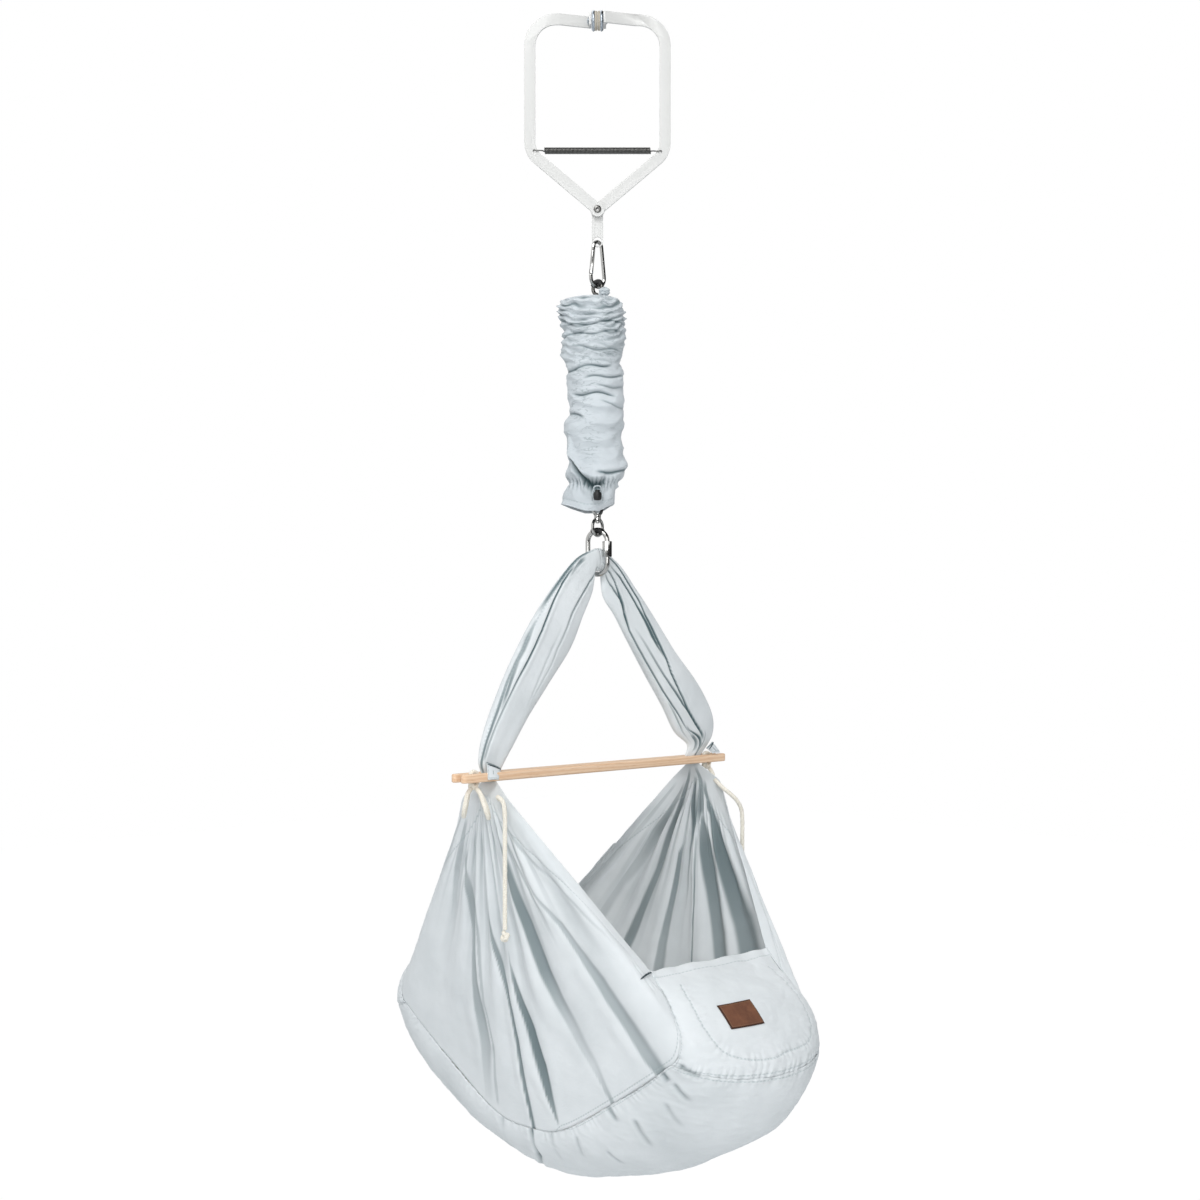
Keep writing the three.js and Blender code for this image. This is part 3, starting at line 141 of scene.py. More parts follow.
# Bright metal reflects a white studio on the viewer's left and a dark one on the right.
toward = node(room, "ShaderNodeTexCoord", (-1200, 500))
rightward = node(room, "ShaderNodeVectorMath", (-1000, 500), toward.outputs["Generated"],
                 (0.7071, -0.7071, 0.15), operation="DOT_PRODUCT")
level = node(room, "ShaderNodeMapRange", (-800, 500), rightward, From_Min=-1)
studio = node(room, "ShaderNodeValToRGB", (-600, 500), level, stops=(
    (0, 1.0), (0.36, 1.0), (0.44, 0.30), (0.52, 0.55), (0.60, 0.05), (0.80, 0.02), (0.97, 0.03), (1, 1.0)))
glossy_light = node(room, "ShaderNodeBackground", (-300, 500), studio)
path = node(room, "ShaderNodeLightPath", (-300, 700))
glossy = node(room, "ShaderNodeMixShader", (-100, 300), path.outputs["Is Glossy Ray"], soft, glossy_light)
pick = node(room, "ShaderNodeMixShader", (0, 0), seen_directly(room), glossy, white)
node(room, "ShaderNodeOutputWorld", (200, 0), pick)

bpy.ops.object.select_all(action="DESELECT")
bpy.ops.mesh.primitive_grid_add(x_subdivisions=8, y_subdivisions=8, size=floor_size,
                                location=(0, 0, -floor_drop))
floor = bpy.context.object
floor.name = "floor"
bpy.ops.object.transform_apply(location=True)
floor_white, under, _ = material("floor_white")
under.nodes.clear()
matt = node(under, "ShaderNodeBsdfDiffuse", (-200, 200), "#EDEFF0")
glow = node(under, "ShaderNodeEmission", (-400, -200), (1, 1, 1, 1), 1.02)
both = node(under, "ShaderNodeMixShader", (-200, -100), 0.97, matt, glow)
choose = node(under, "ShaderNodeMixShader", (0, 0), seen_directly(under), matt, both)
node(under, "ShaderNodeOutputMaterial", (200, 0), choose)
floor.data.materials.append(floor_white)

# Draw cords of the seat
# Soft braided cotton cord, 7 mm thick, undyed. One end is lashed through each fork of the bar and knotted
# under it with hanging bow loops; the other leaves the seat's rim and hangs down to an overhand knot.


def run_along(line):
    # The distance along a line to each of its points.
    return np.concatenate([[0], np.cumsum(np.linalg.norm(np.diff(line, axis=0), axis=1))])


def length_of(line):
    return float(np.linalg.norm(np.diff(line, axis=0), axis=1).sum())


def smooth_line(points, steps):
    # Evenly spaced points on a centripetal curve through the given ones, as the CAD solids have it.
    given = [Vector(p) for p in points]
    ring = [given[0] * 2 - given[1], *given, given[-1] * 2 - given[-2]]
    fine = []
    for i in range(1, len(ring) - 2):
        p0, p1, p2, p3 = ring[i - 1:i + 3]
        d1, d2, d3 = [max((b - a).length, 1e-9) ** 0.5 for a, b in ((p0, p1), (p1, p2), (p2, p3))]
        t1 = ((p1 - p0) / d1 - (p2 - p0) / (d1 + d2) + (p2 - p1) / d2) * d2
        t2 = ((p2 - p1) / d2 - (p3 - p1) / (d2 + d3) + (p3 - p2) / d3) * d2
        for k in range(24):
            t = k / 24
            fine.append(p1 * (2 * t**3 - 3 * t**2 + 1) + t1 * (t**3 - 2 * t**2 + t)
                        + p2 * (3 * t**2 - 2 * t**3) + t2 * (t**3 - t**2))
    fine.append(given[-1])
    fine = np.array(fine)
    run = run_along(fine)
    at = np.linspace(0, run[-1], steps + 1)
    return np.stack([np.interp(at, run, fine[:, k]) for k in range(3)], axis=1)


def to_view(right, away):
    # Measures across and into the photograph's view, as x and y.
    return (right * math.cos(view_turn) - away * math.sin(view_turn),
            right * math.sin(view_turn) + away * math.cos(view_turn))


def link_mesh(name, points, faces, corners=None, **layers):
    # Each layer has a pair of numbers for each point, or for each number that corners gives the faces.
    mesh = bpy.data.meshes.new(name)
    mesh.from_pydata([tuple(p) for p in points], [], faces)
    places = np.array([i for f in (faces if corners is None else corners) for i in f])
    for layer_name, pairs in layers.items():
        layer = mesh.uv_layers.new(name=layer_name)
        layer.data.foreach_set("uv", np.asarray(pairs, dtype=float)[places].ravel())
    made = bpy.data.objects.new(name, mesh)
    bpy.context.scene.collection.objects.link(made)
    mesh.shade_smooth()
    return made


def pick_out(*pieces):
    # Only these pieces are selected, with the first of them active.
    bpy.ops.object.select_all(action="DESELECT")
    for piece in pieces:
        piece.select_set(True)
    bpy.context.view_layer.objects.active = pieces[0]


def stands_for(piece, name, body=None):
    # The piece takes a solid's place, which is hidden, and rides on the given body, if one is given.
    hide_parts(name)
    if body:
        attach(piece, body)


def rides_on_cradle(piece):
    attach(piece, "cradle")


def tube(name, line, radius, sides=16, looped=False, swell=None):
    # A round tube along evenly spaced points; swell(share, angle) is its radius as a share of the given one.
    line = np.asarray(line, dtype=float)
    count = len(line)
    ahead = np.roll(line, -1, axis=0) - np.roll(line, 1, axis=0)
    if not looped:
        ahead[0], ahead[-1] = line[1] - line[0], line[-1] - line[-2]
    ahead /= np.linalg.norm(ahead, axis=1)[:, None]
    side = np.zeros_like(line)
    start = np.cross(ahead[0], [0.0, 0.0, 1.0] if abs(ahead[0][2]) < 0.9 else [1.0, 0.0, 0.0])
    side[0] = start / np.linalg.norm(start)
    for i in range(1, count):
        flat = side[i - 1] - ahead[i] * np.dot(side[i - 1], ahead[i])
        side[i] = flat / np.linalg.norm(flat)
    if looped:
        flat = side[-1] - ahead[0] * np.dot(side[-1], ahead[0])
        turn = math.atan2(np.dot(np.cross(side[0], flat), ahead[0]), np.dot(side[0], flat))
        for i in range(count):
            a = -turn * i / count
            side[i] = side[i] * math.cos(a) + np.cross(ahead[i], side[i]) * math.sin(a)
    up = np.cross(ahead, side)
    run = run_along(line)
    points, uvs, faces = [], [], []
    for i in range(count):
        for j in range(sides):
            angle = 2 * math.pi * j / sides
            r = radius * (swell(i / max(count - 1, 1), angle) if swell else 1)
            points.append(line[i] + (side[i] * math.cos(angle) + up[i] * math.sin(angle)) * r)
            uvs.append((abs(2 * j / sides - 1), run[i]))
    for i in range(count if looped else count - 1):
        for j in range(sides):
            a, b = i * sides + j, i * sides + (j + 1) % sides
            c, d = ((i + 1) % count) * sides + j, ((i + 1) % count) * sides + (j + 1) % sides
            faces.append((a, b, d, c))
    if not looped:
        for i, turned in ((0, True), (count - 1, False)):
            points.append(line[i] + ahead[i] * (-radius if turned else radius) * 0.3)
            uvs.append((0.5, run[i]))
            top = len(points) - 1
            for j in range(sides):
                a, b = i * sides + j, i * sides + (j + 1) % sides
                faces.append((b, a, top) if turned else (a, b, top))
    return link_mesh(name, points, faces, cloth=uvs)


def cord_material():
    # Undyed cotton yarn: its fibres scatter light, so it is dull, with a soft pale edge, and its short fluff
    # shows as cream specks about a millimetre across.
    made, tree, skin = material("braided_cotton", Roughness=0.95, Sheen_Weight=0.25, Sheen_Roughness=0.6)
    where = node(tree, "ShaderNodeTexCoord", (-1000, 0))
    fluff = node(tree, "ShaderNodeTexNoise", (-800, 0), where.outputs["Object"], Scale=900, Detail=4,
                 Roughness=0.7)
    tint = node(tree, "ShaderNodeValToRGB", (-600, 100), fluff, stops=((0.32, "#CFC7B5"), (0.62, "#F1EDE3")))
    rough = node(tree, "ShaderNodeBump", (-300, -200), Strength=0.6, Distance=0.0006, Height=fluff)
    fill(tree, skin, {"Base Color": tint, "Normal": rough})
    return made


braided_cotton = cord_material()
# The cord's thickness, the middle of each fork and of the knot under it, all in metres.
cord_thick, fork_x, knot_z = 0.007, 0.262, -1.2055


def braid(length, thick):
    # Three plump strands that cross every braid pitch.
    pitch = 1.5 * thick

    def swell(share, angle):
        along = share * length / pitch * math.pi * 2
        return 0.93 + 0.09 * abs(math.sin(along / 2 + angle)) + 0.07 * abs(math.sin(along / 2 - angle)) - 0.06
    return swell


def free_cord(name, route, node_name, **facts):
    # The route is in millimetres.
    points = [[c / 1000 for c in p] for p in route]
    length = length_of(smooth_line(points, 60))
    steps = smooth_line(points, max(int(length / 0.001), 30))
    made = tube(name, steps, cord_thick / 2, 18, swell=braid(length, cord_thick))
    made.data.materials.append(braided_cotton)
    stands_for(made, node_name, "cradle")
    path = smooth_line(points, 80)


def knot_frame(route, side):
    # The loops' routes are drawn from their knot, turned to the photograph's view.
    turned = [(*to_view(x, y), z) for x, y, z in route]
    return [[1000 * side * fork_x + x, y, z + 1000 * knot_z] for x, y, z in turned]


rear_loop = [
    [4.8, -5.3, -4.9], [9, -13, -12], [11, -16, -22], [13, -16, -32], [14.5, -11, -41], [15, 0, -45.5],
    [14.5, 11, -41], [13, 16, -32], [11, 16, -22], [9, 13, -12], [4.8, 5.3, -4.9],
]
front_loop = [
    [4.5, -6.4, -3.5], [11, -18, -11], [15, -28, -20], [19, -34, -30], [22, -31, -40], [23, -20, -46],
    [22, -9, -41], [19, -5, -31], [14, -4, -19], [6.2, -2.1, -5.2],
]
left_tail = [
    [-243.3, -37.4, -1224.2], [-249.1, -39.2, -1220.8], [-252, -44, -1220.5], [-252, -50, -1223],
    [-250.5, -53.5, -1229], [-249.5, -54.6, -1238], [-249, -55, -1250], [-249, -55, -1275],
    [-249, -55, -1305], [-249, -55, -1335],
    [-249, -55, -1365], [-249, -55, -1395], [-249, -55, -1416],
]
right_tail = [
    [230.9, -47.5, -1226.5], [225.8, -52, -1225.7], [221.5, -58, -1226.5], [219, -66, -1230.5],
    [220.5, -75, -1237.5], [227.5, -84, -1246.5], [237, -89.5, -1257.5], [246, -91, -1272],
    [250, -90, -1290], [250, -90, -1315],
    [250, -90, -1345], [250, -90, -1378],
]


def three_lobes(steps):
    # A trefoil, as a tight overhand knot lies, about three measures wide.
    turns = [2 * math.pi * i / steps for i in range(steps)]
    return [(math.sin(t) + 2 * math.sin(2 * t), math.cos(t) - 2 * math.cos(2 * t), -math.sin(3 * t))
            for t in turns]


def overhand_knot(name, centre, node_name, reach=0.0048, tall=0.0066, thick=0.0062):
    # The cord's own end, drawn through itself: a tight three-lobed knot that stands on its end.
    line = [[centre[0] + reach * z * 0.55, centre[1] + reach * (y / 3), centre[2] + tall * (x / 3)]
            for x, y, z in three_lobes(90)]
    made = tube(name, line, thick / 2, 14, looped=True,
                swell=lambda share, a: 0.95 + 0.06 * math.sin(share * 150 + 2 * a))
    made.data.materials.append(braided_cotton)
    stands_for(made, node_name, "cradle")
    return made


def fork_lashing(name, side, node_name):
    # Over the cloth in the fork, down through it, and a knot under the bar.
    x, thick = side * fork_x, 0.0072
    over = smooth_line([
        [x - 0.0066, 0, -1.203], [x - 0.0068, 0, -1.194], [x - 0.0052, 0.0004, -1.187], [x, 0.0006, -1.1845],
        [x + 0.0052, 0.0004, -1.187], [x + 0.0068, 0, -1.194], [x + 0.0066, 0, -1.203]], 60)
    strands = tube(name, over, thick / 2, 16, swell=braid(0.05, thick))
    line = [[x + 0.0052 * a / 2.6, 0.0042 * b / 2.6, -1.2058 + 0.0026 * c] for a, b, c in three_lobes(100)]
    knot = tube(name + "_turns", line, 0.0033, 14, looped=True)
    pick_out(strands, knot)
    bpy.ops.object.join()
    strands.data.materials.clear()
    strands.data.materials.append(braided_cotton)
    stands_for(strands, node_name, "cradle")
    return strands


knot_left = fork_lashing("lashing_left", -1, "cord_knot_left")
knot_right = fork_lashing("lashing_right", 1, "cord_knot_right")
end_left = overhand_knot("tail_end_left", (-0.249, -0.055, -1.4260), "tail_knot_left")
end_right = overhand_knot("tail_end_right", (0.250, -0.090, -1.3880), "tail_knot_right")
free_cord("tail_left", left_tail, "cord_tail_left", far_end="knot", with_pieces=[end_left, knot_left])
free_cord("tail_right", right_tail, "cord_tail_right", far_end="knot", with_pieces=[end_right, knot_right])
mirrored = [[-x, y, z] for x, y, z in rear_loop]
free_cord("bow_left_rear", knot_frame(mirrored, -1), "bow_loop_left_rear", far_end="object")
free_cord("bow_left_front", knot_frame(front_loop, -1), "bow_loop_left_front", far_end="object")
free_cord("bow_right", knot_frame(rear_loop, 1), "bow_loop_right", far_end="object")

# Cotton cloth
# Plain-woven, washed cotton in a pale grey-green, the same for the seat, the slings and the spring's cover.
# Seams are lines of grey stitches with the cloth drawn in along them.
weave_pitch, stitch_pitch = 0.0011, 0.006


def crumple(points, size, seed=0.0):
    # Smooth noise from -1 to 1 at each point, with features of that size in metres.
    tones = [noise.noise(Vector((p[0] / size + seed, p[1] / size - seed, p[2] / size + 2 * seed)))
             for p in points.reshape(-1, 3)]
    return np.array(tones).reshape(points.shape[:-1])


def cloth_material():
    # Washed plain weave: matt, softly creased every few centimetres, with a fine crossed thread relief that
    # shows only close up. Stitches sink about 0.4 mm into the cloth, and a deep fold is darkened with painted
    # shade.
    made, tree, skin = material("washed_cotton", Roughness=0.88, Sheen_Weight=0.12, Sheen_Roughness=0.5,
                                Specular_IOR_Level=0.25)
    where = node(tree, "ShaderNodeTexCoord", (-1600, 0)).outputs["Object"]
    patch = node(tree, "ShaderNodeTexNoise", (-1400, 200), where, Scale=9, Detail=3, Roughness=0.6)
    creased = node(tree, "ShaderNodeTexNoise", (-1400, -100), where, Scale=48, Detail=5, Roughness=0.55,
                   Distortion=0.6)
    weave = node(tree, "ShaderNodeUVMap", (-1600, -400), uv_map="cloth")
    apart = node(tree, "ShaderNodeSeparateXYZ", (-1400, -400), weave)
    threads = []
    for k, part in enumerate(("X", "Y")):
        wave = node(tree, "ShaderNodeMath", (-1200, -400 - 150 * k), apart.outputs[part],
                    2 * math.pi / weave_pitch, operation="MULTIPLY")
        threads.append(node(tree, "ShaderNodeMath", (-1050, -400 - 150 * k), wave, operation="SINE"))
    plain = node(tree, "ShaderNodeMath", (-900, -450), *threads, operation="MULTIPLY")
    tint = node(tree, "ShaderNodeValToRGB", (-1100, 250), patch, stops=((0.3, "#D2D7D9"), (0.75, "#E0E4E6")))
    line = node(tree, "ShaderNodeUVMap", (-1600, -800), uv_map="seam")
    lines = node(tree, "ShaderNodeSeparateXYZ", (-1400, -800), line)
    off = node(tree, "ShaderNodeMath", (-1200, -800), lines.outputs["X"], operation="ABSOLUTE")
    near = node(tree, "ShaderNodeMapRange", (-1050, -800), off, interpolation_type="SMOOTHSTEP",
                From_Min=0.0004, From_Max=0.0016, To_Min=1, To_Max=0)
    dash = node(tree, "ShaderNodeMath", (-1200, -950), lines.outputs["Y"], 2 * math.pi / stitch_pitch,
                operation="MULTIPLY")
    dashes = node(tree, "ShaderNodeMath", (-1050, -950), dash, operation="SINE")
    stitch = node(tree, "ShaderNodeMapRange", (-900, -950), dashes, From_Min=-0.5, From_Max=0.3, To_Min=0.35,
                  To_Max=1)
    thread = node(tree, "ShaderNodeMath", (-750, -850), near, stitch, operation="MULTIPLY")
    # Painted shade: this mask mixes the cloth's colour towards a dark grey-green in its folds and creases.
    fold = node(tree, "ShaderNodeAttribute", (-1100, 450), attribute_name="fold").outputs["Fac"]
    deep = node(tree, "ShaderNodeMix", (-750, 350), data_type="RGBA", Factor=fold, A=tint, B="#52666A")
    amount = node(tree, "ShaderNodeMath", (-650, 100), thread, 0.5, operation="MULTIPLY")
    sewn = node(tree, "ShaderNodeMix", (-500, 200), data_type="RGBA", Factor=amount, A=deep, B="#A3AFB2")
    folds = node(tree, "ShaderNodeBump", (-500, -200), Strength=0.35, Distance=0.0022, Height=creased)
    fine = node(tree, "ShaderNodeBump", (-300, -300), Strength=0.25, Distance=0.0003, Height=plain,
                Normal=folds)
    drawn = node(tree, "ShaderNodeBump", (-100, -400), Strength=0.45, Distance=0.0008, invert=True,
                 Height=near, Normal=fine)
    fill(tree, skin, {"Base Color": sewn, "Normal": drawn})
    return made


washed_cotton = cloth_material()


def recoloured(name, dark, light):
    # The same cloth in another shade.
    made = washed_cotton.copy()
    made.name = name
    for step, code in zip(made.node_tree.nodes["Color Ramp"].color_ramp.elements, (dark, light)):
        step.color = colour(code)
    return made


def grid_faces(rows, columns):
    return [(k, k + columns, k + columns + 1, k + 1) for i in range(rows - 1)
            for k in range(i * columns, (i + 1) * columns - 1)]


def walled(made, fold, thick, offset):
    # Gives a cloth its thickness, and stores at each point how much painted shade darkens its colour, from 0
    # to 1.
    depth = made.data.attributes.new("fold", "FLOAT", "POINT")
    depth.data.foreach_set("value", np.clip(fold, 0, 1).ravel())
    wall = made.modifiers.new("wall", "SOLIDIFY")
    wall.thickness = thick
    wall.offset = offset
    pick_out(made)
    bpy.ops.object.modifier_apply(modifier="wall")
    made.data.materials.append(washed_cotton)
    return made


def cloth_sheet(name, points, seam, fold, thick=0.0012):
    # points[i][j] is a grid of the cloth's middle; seam holds, for each point, its distance to the nearest
    # line of stitches and its run along it.
    across, along = np.zeros(points.shape[:2]), np.zeros(points.shape[:2])
    across[:, 1:] = np.cumsum(np.linalg.norm(np.diff(points, axis=1), axis=2), axis=1)
    along[1:] = np.cumsum(np.linalg.norm(np.diff(points, axis=0), axis=2), axis=0)
    made = link_mesh(name, points.reshape(-1, 3), grid_faces(*points.shape[:2]),
                     cloth=np.stack([along, across], axis=2).reshape(-1, 2), seam=seam.reshape(-1, 2))
    made.data.uv_layers.active = made.data.uv_layers["cloth"]
    made.data.uv_layers["cloth"].active_render = True
    return walled(made, fold, thick, 0)


# Cloth seat: two pleated side walls, gathered at the bar's ends, and a rounded seat with an end panel at
# each end. The walls are cut as fans, hemmed along their rims, and sewn to the seat along one curved seam.

seat_half, seat_deep, rim_z = 0.385, 0.366, -1.469
rim_half, seam_half = 0.130, 0.150
gather_x, gather_z, gather_half = 0.238, -1.226, 0.052
# Above its gather each wall's cloth is drawn up into the fork, in metres.
fork_cloth_z, fork_cloth_half = -1.1990, 0.011
# How far each line of stitches lies from its edge: the walls' rim and foot, the seat's seams and its rim.
rim_hem, foot_seam, side_seam, top_hem = 0.045, 0.006, 0.005, 0.016
label_wide, label_tall, label_along, label_shift = 0.066, 0.042, 0.084, -0.040
label_inset, label_pitch, label_thread = 0.003, 0.0033, 0.00064
profile_shares = [
    [0.623, 0], [0.79, 0.09], [0.909, 0.208], [1, 0.369], [0.995, 0.486], [0.909, 0.637],
    [0.779, 0.732], [0.519, 0.877], [0.26, 0.959], [0, 1],
]
seam_shares = [
    [0.623, 0], [0.74, 0.131], [0.808, 0.23], [0.8, 0.309], [0.74, 0.361], [0.455, 0.555], [0.166, 0.719],
    [0, 0.738],
]


def rim_to_rim(shares):
    near = [(0, -y * seat_half, rim_z - z * seat_deep) for y, z in shares]
    far = [(0, -y, z) for x, y, z in reversed(near[:-1])]
    return smooth_line(near + far, 800)


seat_profile, seat_seam = rim_to_rim(profile_shares), rim_to_rim(seam_shares)
profile_length, seam_length = length_of(seat_profile), length_of(seat_seam)


def on_curve(curve, share):
    at = np.clip(share, 0, 1) * (len(curve) - 1)
    return np.stack([np.interp(at, np.arange(len(curve)), curve[:, k]) for k in range(3)], axis=-1)


def seam_point(share, side):
    place = on_curve(seat_seam, share)
    low = np.clip((rim_z - place[..., 2]) / seat_deep / 0.36, 0, 1)
    place[..., 0] = side * (rim_half + (seam_half - rim_half) * low * low * (3 - 2 * low))
    return place


def seat_point(along, angle):
    # angle runs from -90 to 90 degrees, from the left seam through the middle to the right one.
    middle, seam = on_curve(seat_profile, along), seam_point(along, 1)
    rise = 1 - np.cos(angle)
    place = middle + (seam - middle) * rise[..., None]
    place[..., 0] = np.sin(angle) * seam[..., 0]
    return place


def normals(points):
    du, dv = np.gradient(points, axis=0), np.gradient(points, axis=1)
    face = np.cross(du, dv)
    return face / np.maximum(np.linalg.norm(face, axis=2), 1e-12)[..., None]


def bell(x, width):
    return np.exp(-(x / width) ** 2)


def smooth(x, low, high):
    t = np.clip((x - low) / (high - low), 0, 1)
    return t * t * (3 - 2 * t)


def side_wall(side, pleats, seed):
    # The cloth fans out from many small pleats at its gather to a few broad, soft ridges at its seam. Between
    # the ridges it is tucked into deep folds, darkened with painted shade. A fold is rows of (share along,
    # share down, width and painted shade).
    share = np.linspace(0, 1, 350)
    down = np.linspace(0, 1, 136) ** 0.9
    u, v = np.meshgrid(share, down, indexing="ij")
    across = 2 * u - 1
    top = np.stack([side * (gather_x - 0.010 + 0 * u), fork_cloth_half * across, fork_cloth_z + 0 * u],
                   axis=2)
    neck = np.stack([side * (gather_x + 0 * u), gather_half * across, gather_z - 0.004 * (1 - across**2)],
                    axis=2)
    foot = seam_point(u, side)
    bend = 0.09
    points = np.where(v[..., None] < bend, top + (neck - top) * np.clip(v / bend, 0, 1)[..., None],
                      neck + (foot - neck) * np.clip((v - bend) / (1 - bend), 0, 1)[..., None])
    for _ in range(5):
        points[:, 1:-1] = (points[:, :-2] + 2 * points[:, 1:-1] + points[:, 2:]) / 4
    width = np.linalg.norm(np.diff(points, axis=0), axis=2).sum(axis=0)
    face = normals(points)
    face *= -np.sign(face[..., 0])[..., None]
    span = np.minimum(u, 1 - u) * width[None, :]
    edge = smooth(span, 0.030, 0.070)
    w = u + (0.008 * crumple(points, 0.20, seed) + 0.003 * crumple(points, 0.07, seed + 5)) * (1 - v) * v * 4
    height, fold = np.zeros_like(u), np.zeros_like(u)
    fade = 1 - (0.6 + 0.4 * smooth(u, 0.50, 0.60)) * smooth(v, 0.80, 1.0)
    for rows in pleats:
        place, downs, wide, shade = np.array(rows).T
        half = np.interp(v, downs, wide) / 2
        dark = np.interp(v, downs, shade) * smooth(v, downs[0] - 0.05, downs[0])
        dark = dark * (1 - smooth(v, downs[-1], downs[-1] + 0.02))
        off = (w - np.interp(v, downs, place)) * width[None, :]
        crisp, dull = np.clip(off / half, 0, 9), np.clip(-off / half, 0, 9)
        inside = 1 - np.maximum(smooth(crisp, 0.75, 1.05), smooth(dull, 0.35, 1.25))
        # Painted shade in the fold's valley.
        fold = np.maximum(fold, 0.86 * dark * inside)
        height += dark * fade * edge * half * (
            0.30 * bell(off - 1.9 * half, 1.1 * half) + 0.22 * bell(off + 2.1 * half, 1.3 * half)
            - 0.65 * bell(off, 0.8 * half))
    # Finer pleats, close together under the gather.
    comb = np.sin(2 * np.pi * (23 * w + 1.3 * np.sin(6 * w + seed)))
    close = np.exp(-(v / 0.30) ** 2) * smooth(v, 0.02, 0.08) * edge
    height += 0.0042 * comb * close
    # Painted shade in the valleys of the fine pleats.
    fold = np.maximum(fold, 0.75 * smooth(-comb, 0.25, 0.95) * close)
    slow = np.sin(2 * np.pi * (9.5 * w + 0.5 * np.sin(9 * w + seed)))
    high = smooth(v, 0.1, 0.3)
    height += 0.0040 * slow * edge * (1 - smooth(v, 0.45, 0.95)) * high
    # Faint painted shade in the valleys of the slower ridges.
    fold = np.maximum(fold, 0.22 * smooth(-slow, 0.3, 0.95) * edge * (1 - smooth(v, 0.4, 0.8)) * high)
    height += 0.0024 * crumple(points, 0.09, seed + 3) * smooth(v, 0.1, 0.4) * (1 - smooth(v, 0.9, 1))
    height += 0.0007 * crumple(points, 0.022, seed + 7) * (1 - smooth(v, 0.93, 1))
    height += 0.0005 * (1 - smooth(span, rim_hem, rim_hem + 0.003)) - 0.0007 * bell(span - rim_hem, 0.0025)
    points = points + face * height[..., None]
    steps = np.linalg.norm(np.diff(points, axis=1), axis=2)
    run = np.concatenate([np.zeros((len(share), 1)), np.cumsum(steps, axis=1)], axis=1)
    to_seam = (1 - v) * np.linalg.norm(foot - neck, axis=2)
    near_hem = np.abs(span - rim_hem) < np.abs(to_seam - foot_seam)
    # The foot's stitches are hidden on its far half, where the photograph shows none.
    hidden = 0.05 * smooth(u, 0.42, 0.50)
    marks_at = np.where(near_hem[..., None], np.stack([span - rim_hem, run], axis=2),
                        np.stack([to_seam - foot_seam + hidden, u * seam_length], axis=2))
    return points, marks_at, fold


left_pleats = [
    [(0.401, 0.18, 0.006, 0.7), (0.389, 0.27, 0.011, 0.85), (0.368, 0.42, 0.017, 0.9),
     (0.353, 0.58, 0.025, 0.85), (0.335, 0.68, 0.027, 0.6), (0.319, 0.77, 0.024, 0.35),
     (0.305, 0.88, 0.018, 0.25), (0.300, 0.95, 0.010, 0.4), (0.298, 1.0, 0.010, 0.6)],
    [(0.290, 0.30, 0.004, 0.2), (0.261, 0.39, 0.005, 0.4), (0.222, 0.49, 0.009, 0.5),
     (0.206, 0.59, 0.014, 0.55), (0.196, 0.69, 0.022, 0.6), (0.190, 0.84, 0.027, 0.6),
     (0.184, 0.95, 0.030, 0.6), (0.180, 1.0, 0.026, 0.75)],
    [(0.265, 0.18, 0.004, 0.4), (0.206, 0.29, 0.006, 0.4), (0.164, 0.36, 0.006, 0.35),
     (0.130, 0.47, 0.006, 0.3), (0.104, 0.61, 0.005, 0.2), (0.100, 0.68, 0.004, 0.0)],
    [(0.320, 0.26, 0.004, 0.4), (0.290, 0.36, 0.006, 0.45), (0.272, 0.46, 0.008, 0.25),
     (0.262, 0.55, 0.006, 0.0)],
    [(0.478, 0.53, 0.003, 0.4), (0.471, 0.58, 0.008, 0.85), (0.461, 0.65, 0.013, 0.95),
     (0.449, 0.72, 0.019, 1.0), (0.439, 0.82, 0.024, 1.0), (0.435, 0.90, 0.018, 0.95),
     (0.429, 0.97, 0.006, 0.7)],
    [(0.560, 0.40, 0.005, 0.5), (0.553, 0.46, 0.008, 0.7), (0.531, 0.54, 0.010, 0.8),
     (0.505, 0.65, 0.012, 0.85), (0.495, 0.75, 0.013, 0.9), (0.493, 0.88, 0.011, 0.9),
     (0.487, 1.0, 0.009, 0.95)],
    [(0.725, 0.30, 0.008, 0.5), (0.679, 0.41, 0.014, 0.65), (0.655, 0.52, 0.018, 0.6),
     (0.641, 0.64, 0.024, 0.6), (0.619, 0.75, 0.032, 0.6), (0.601, 0.82, 0.032, 0.45),
     (0.595, 0.94, 0.024, 0.2), (0.595, 1.0, 0.020, 0.0)],
    [(0.649, 0.34, 0.006, 0.5), (0.619, 0.51, 0.007, 0.45), (0.605, 0.70, 0.007, 0.35),
     (0.573, 0.80, 0.008, 0.4), (0.571, 0.96, 0.008, 0.3)],
    [(0.800, 0.20, 0.006, 0.5), (0.790, 0.35, 0.010, 0.45), (0.770, 0.50, 0.014, 0.3),
     (0.760, 0.65, 0.016, 0.0)],
    [(0.880, 0.18, 0.006, 0.4), (0.870, 0.32, 0.010, 0.35), (0.860, 0.48, 0.012, 0.0)],
]
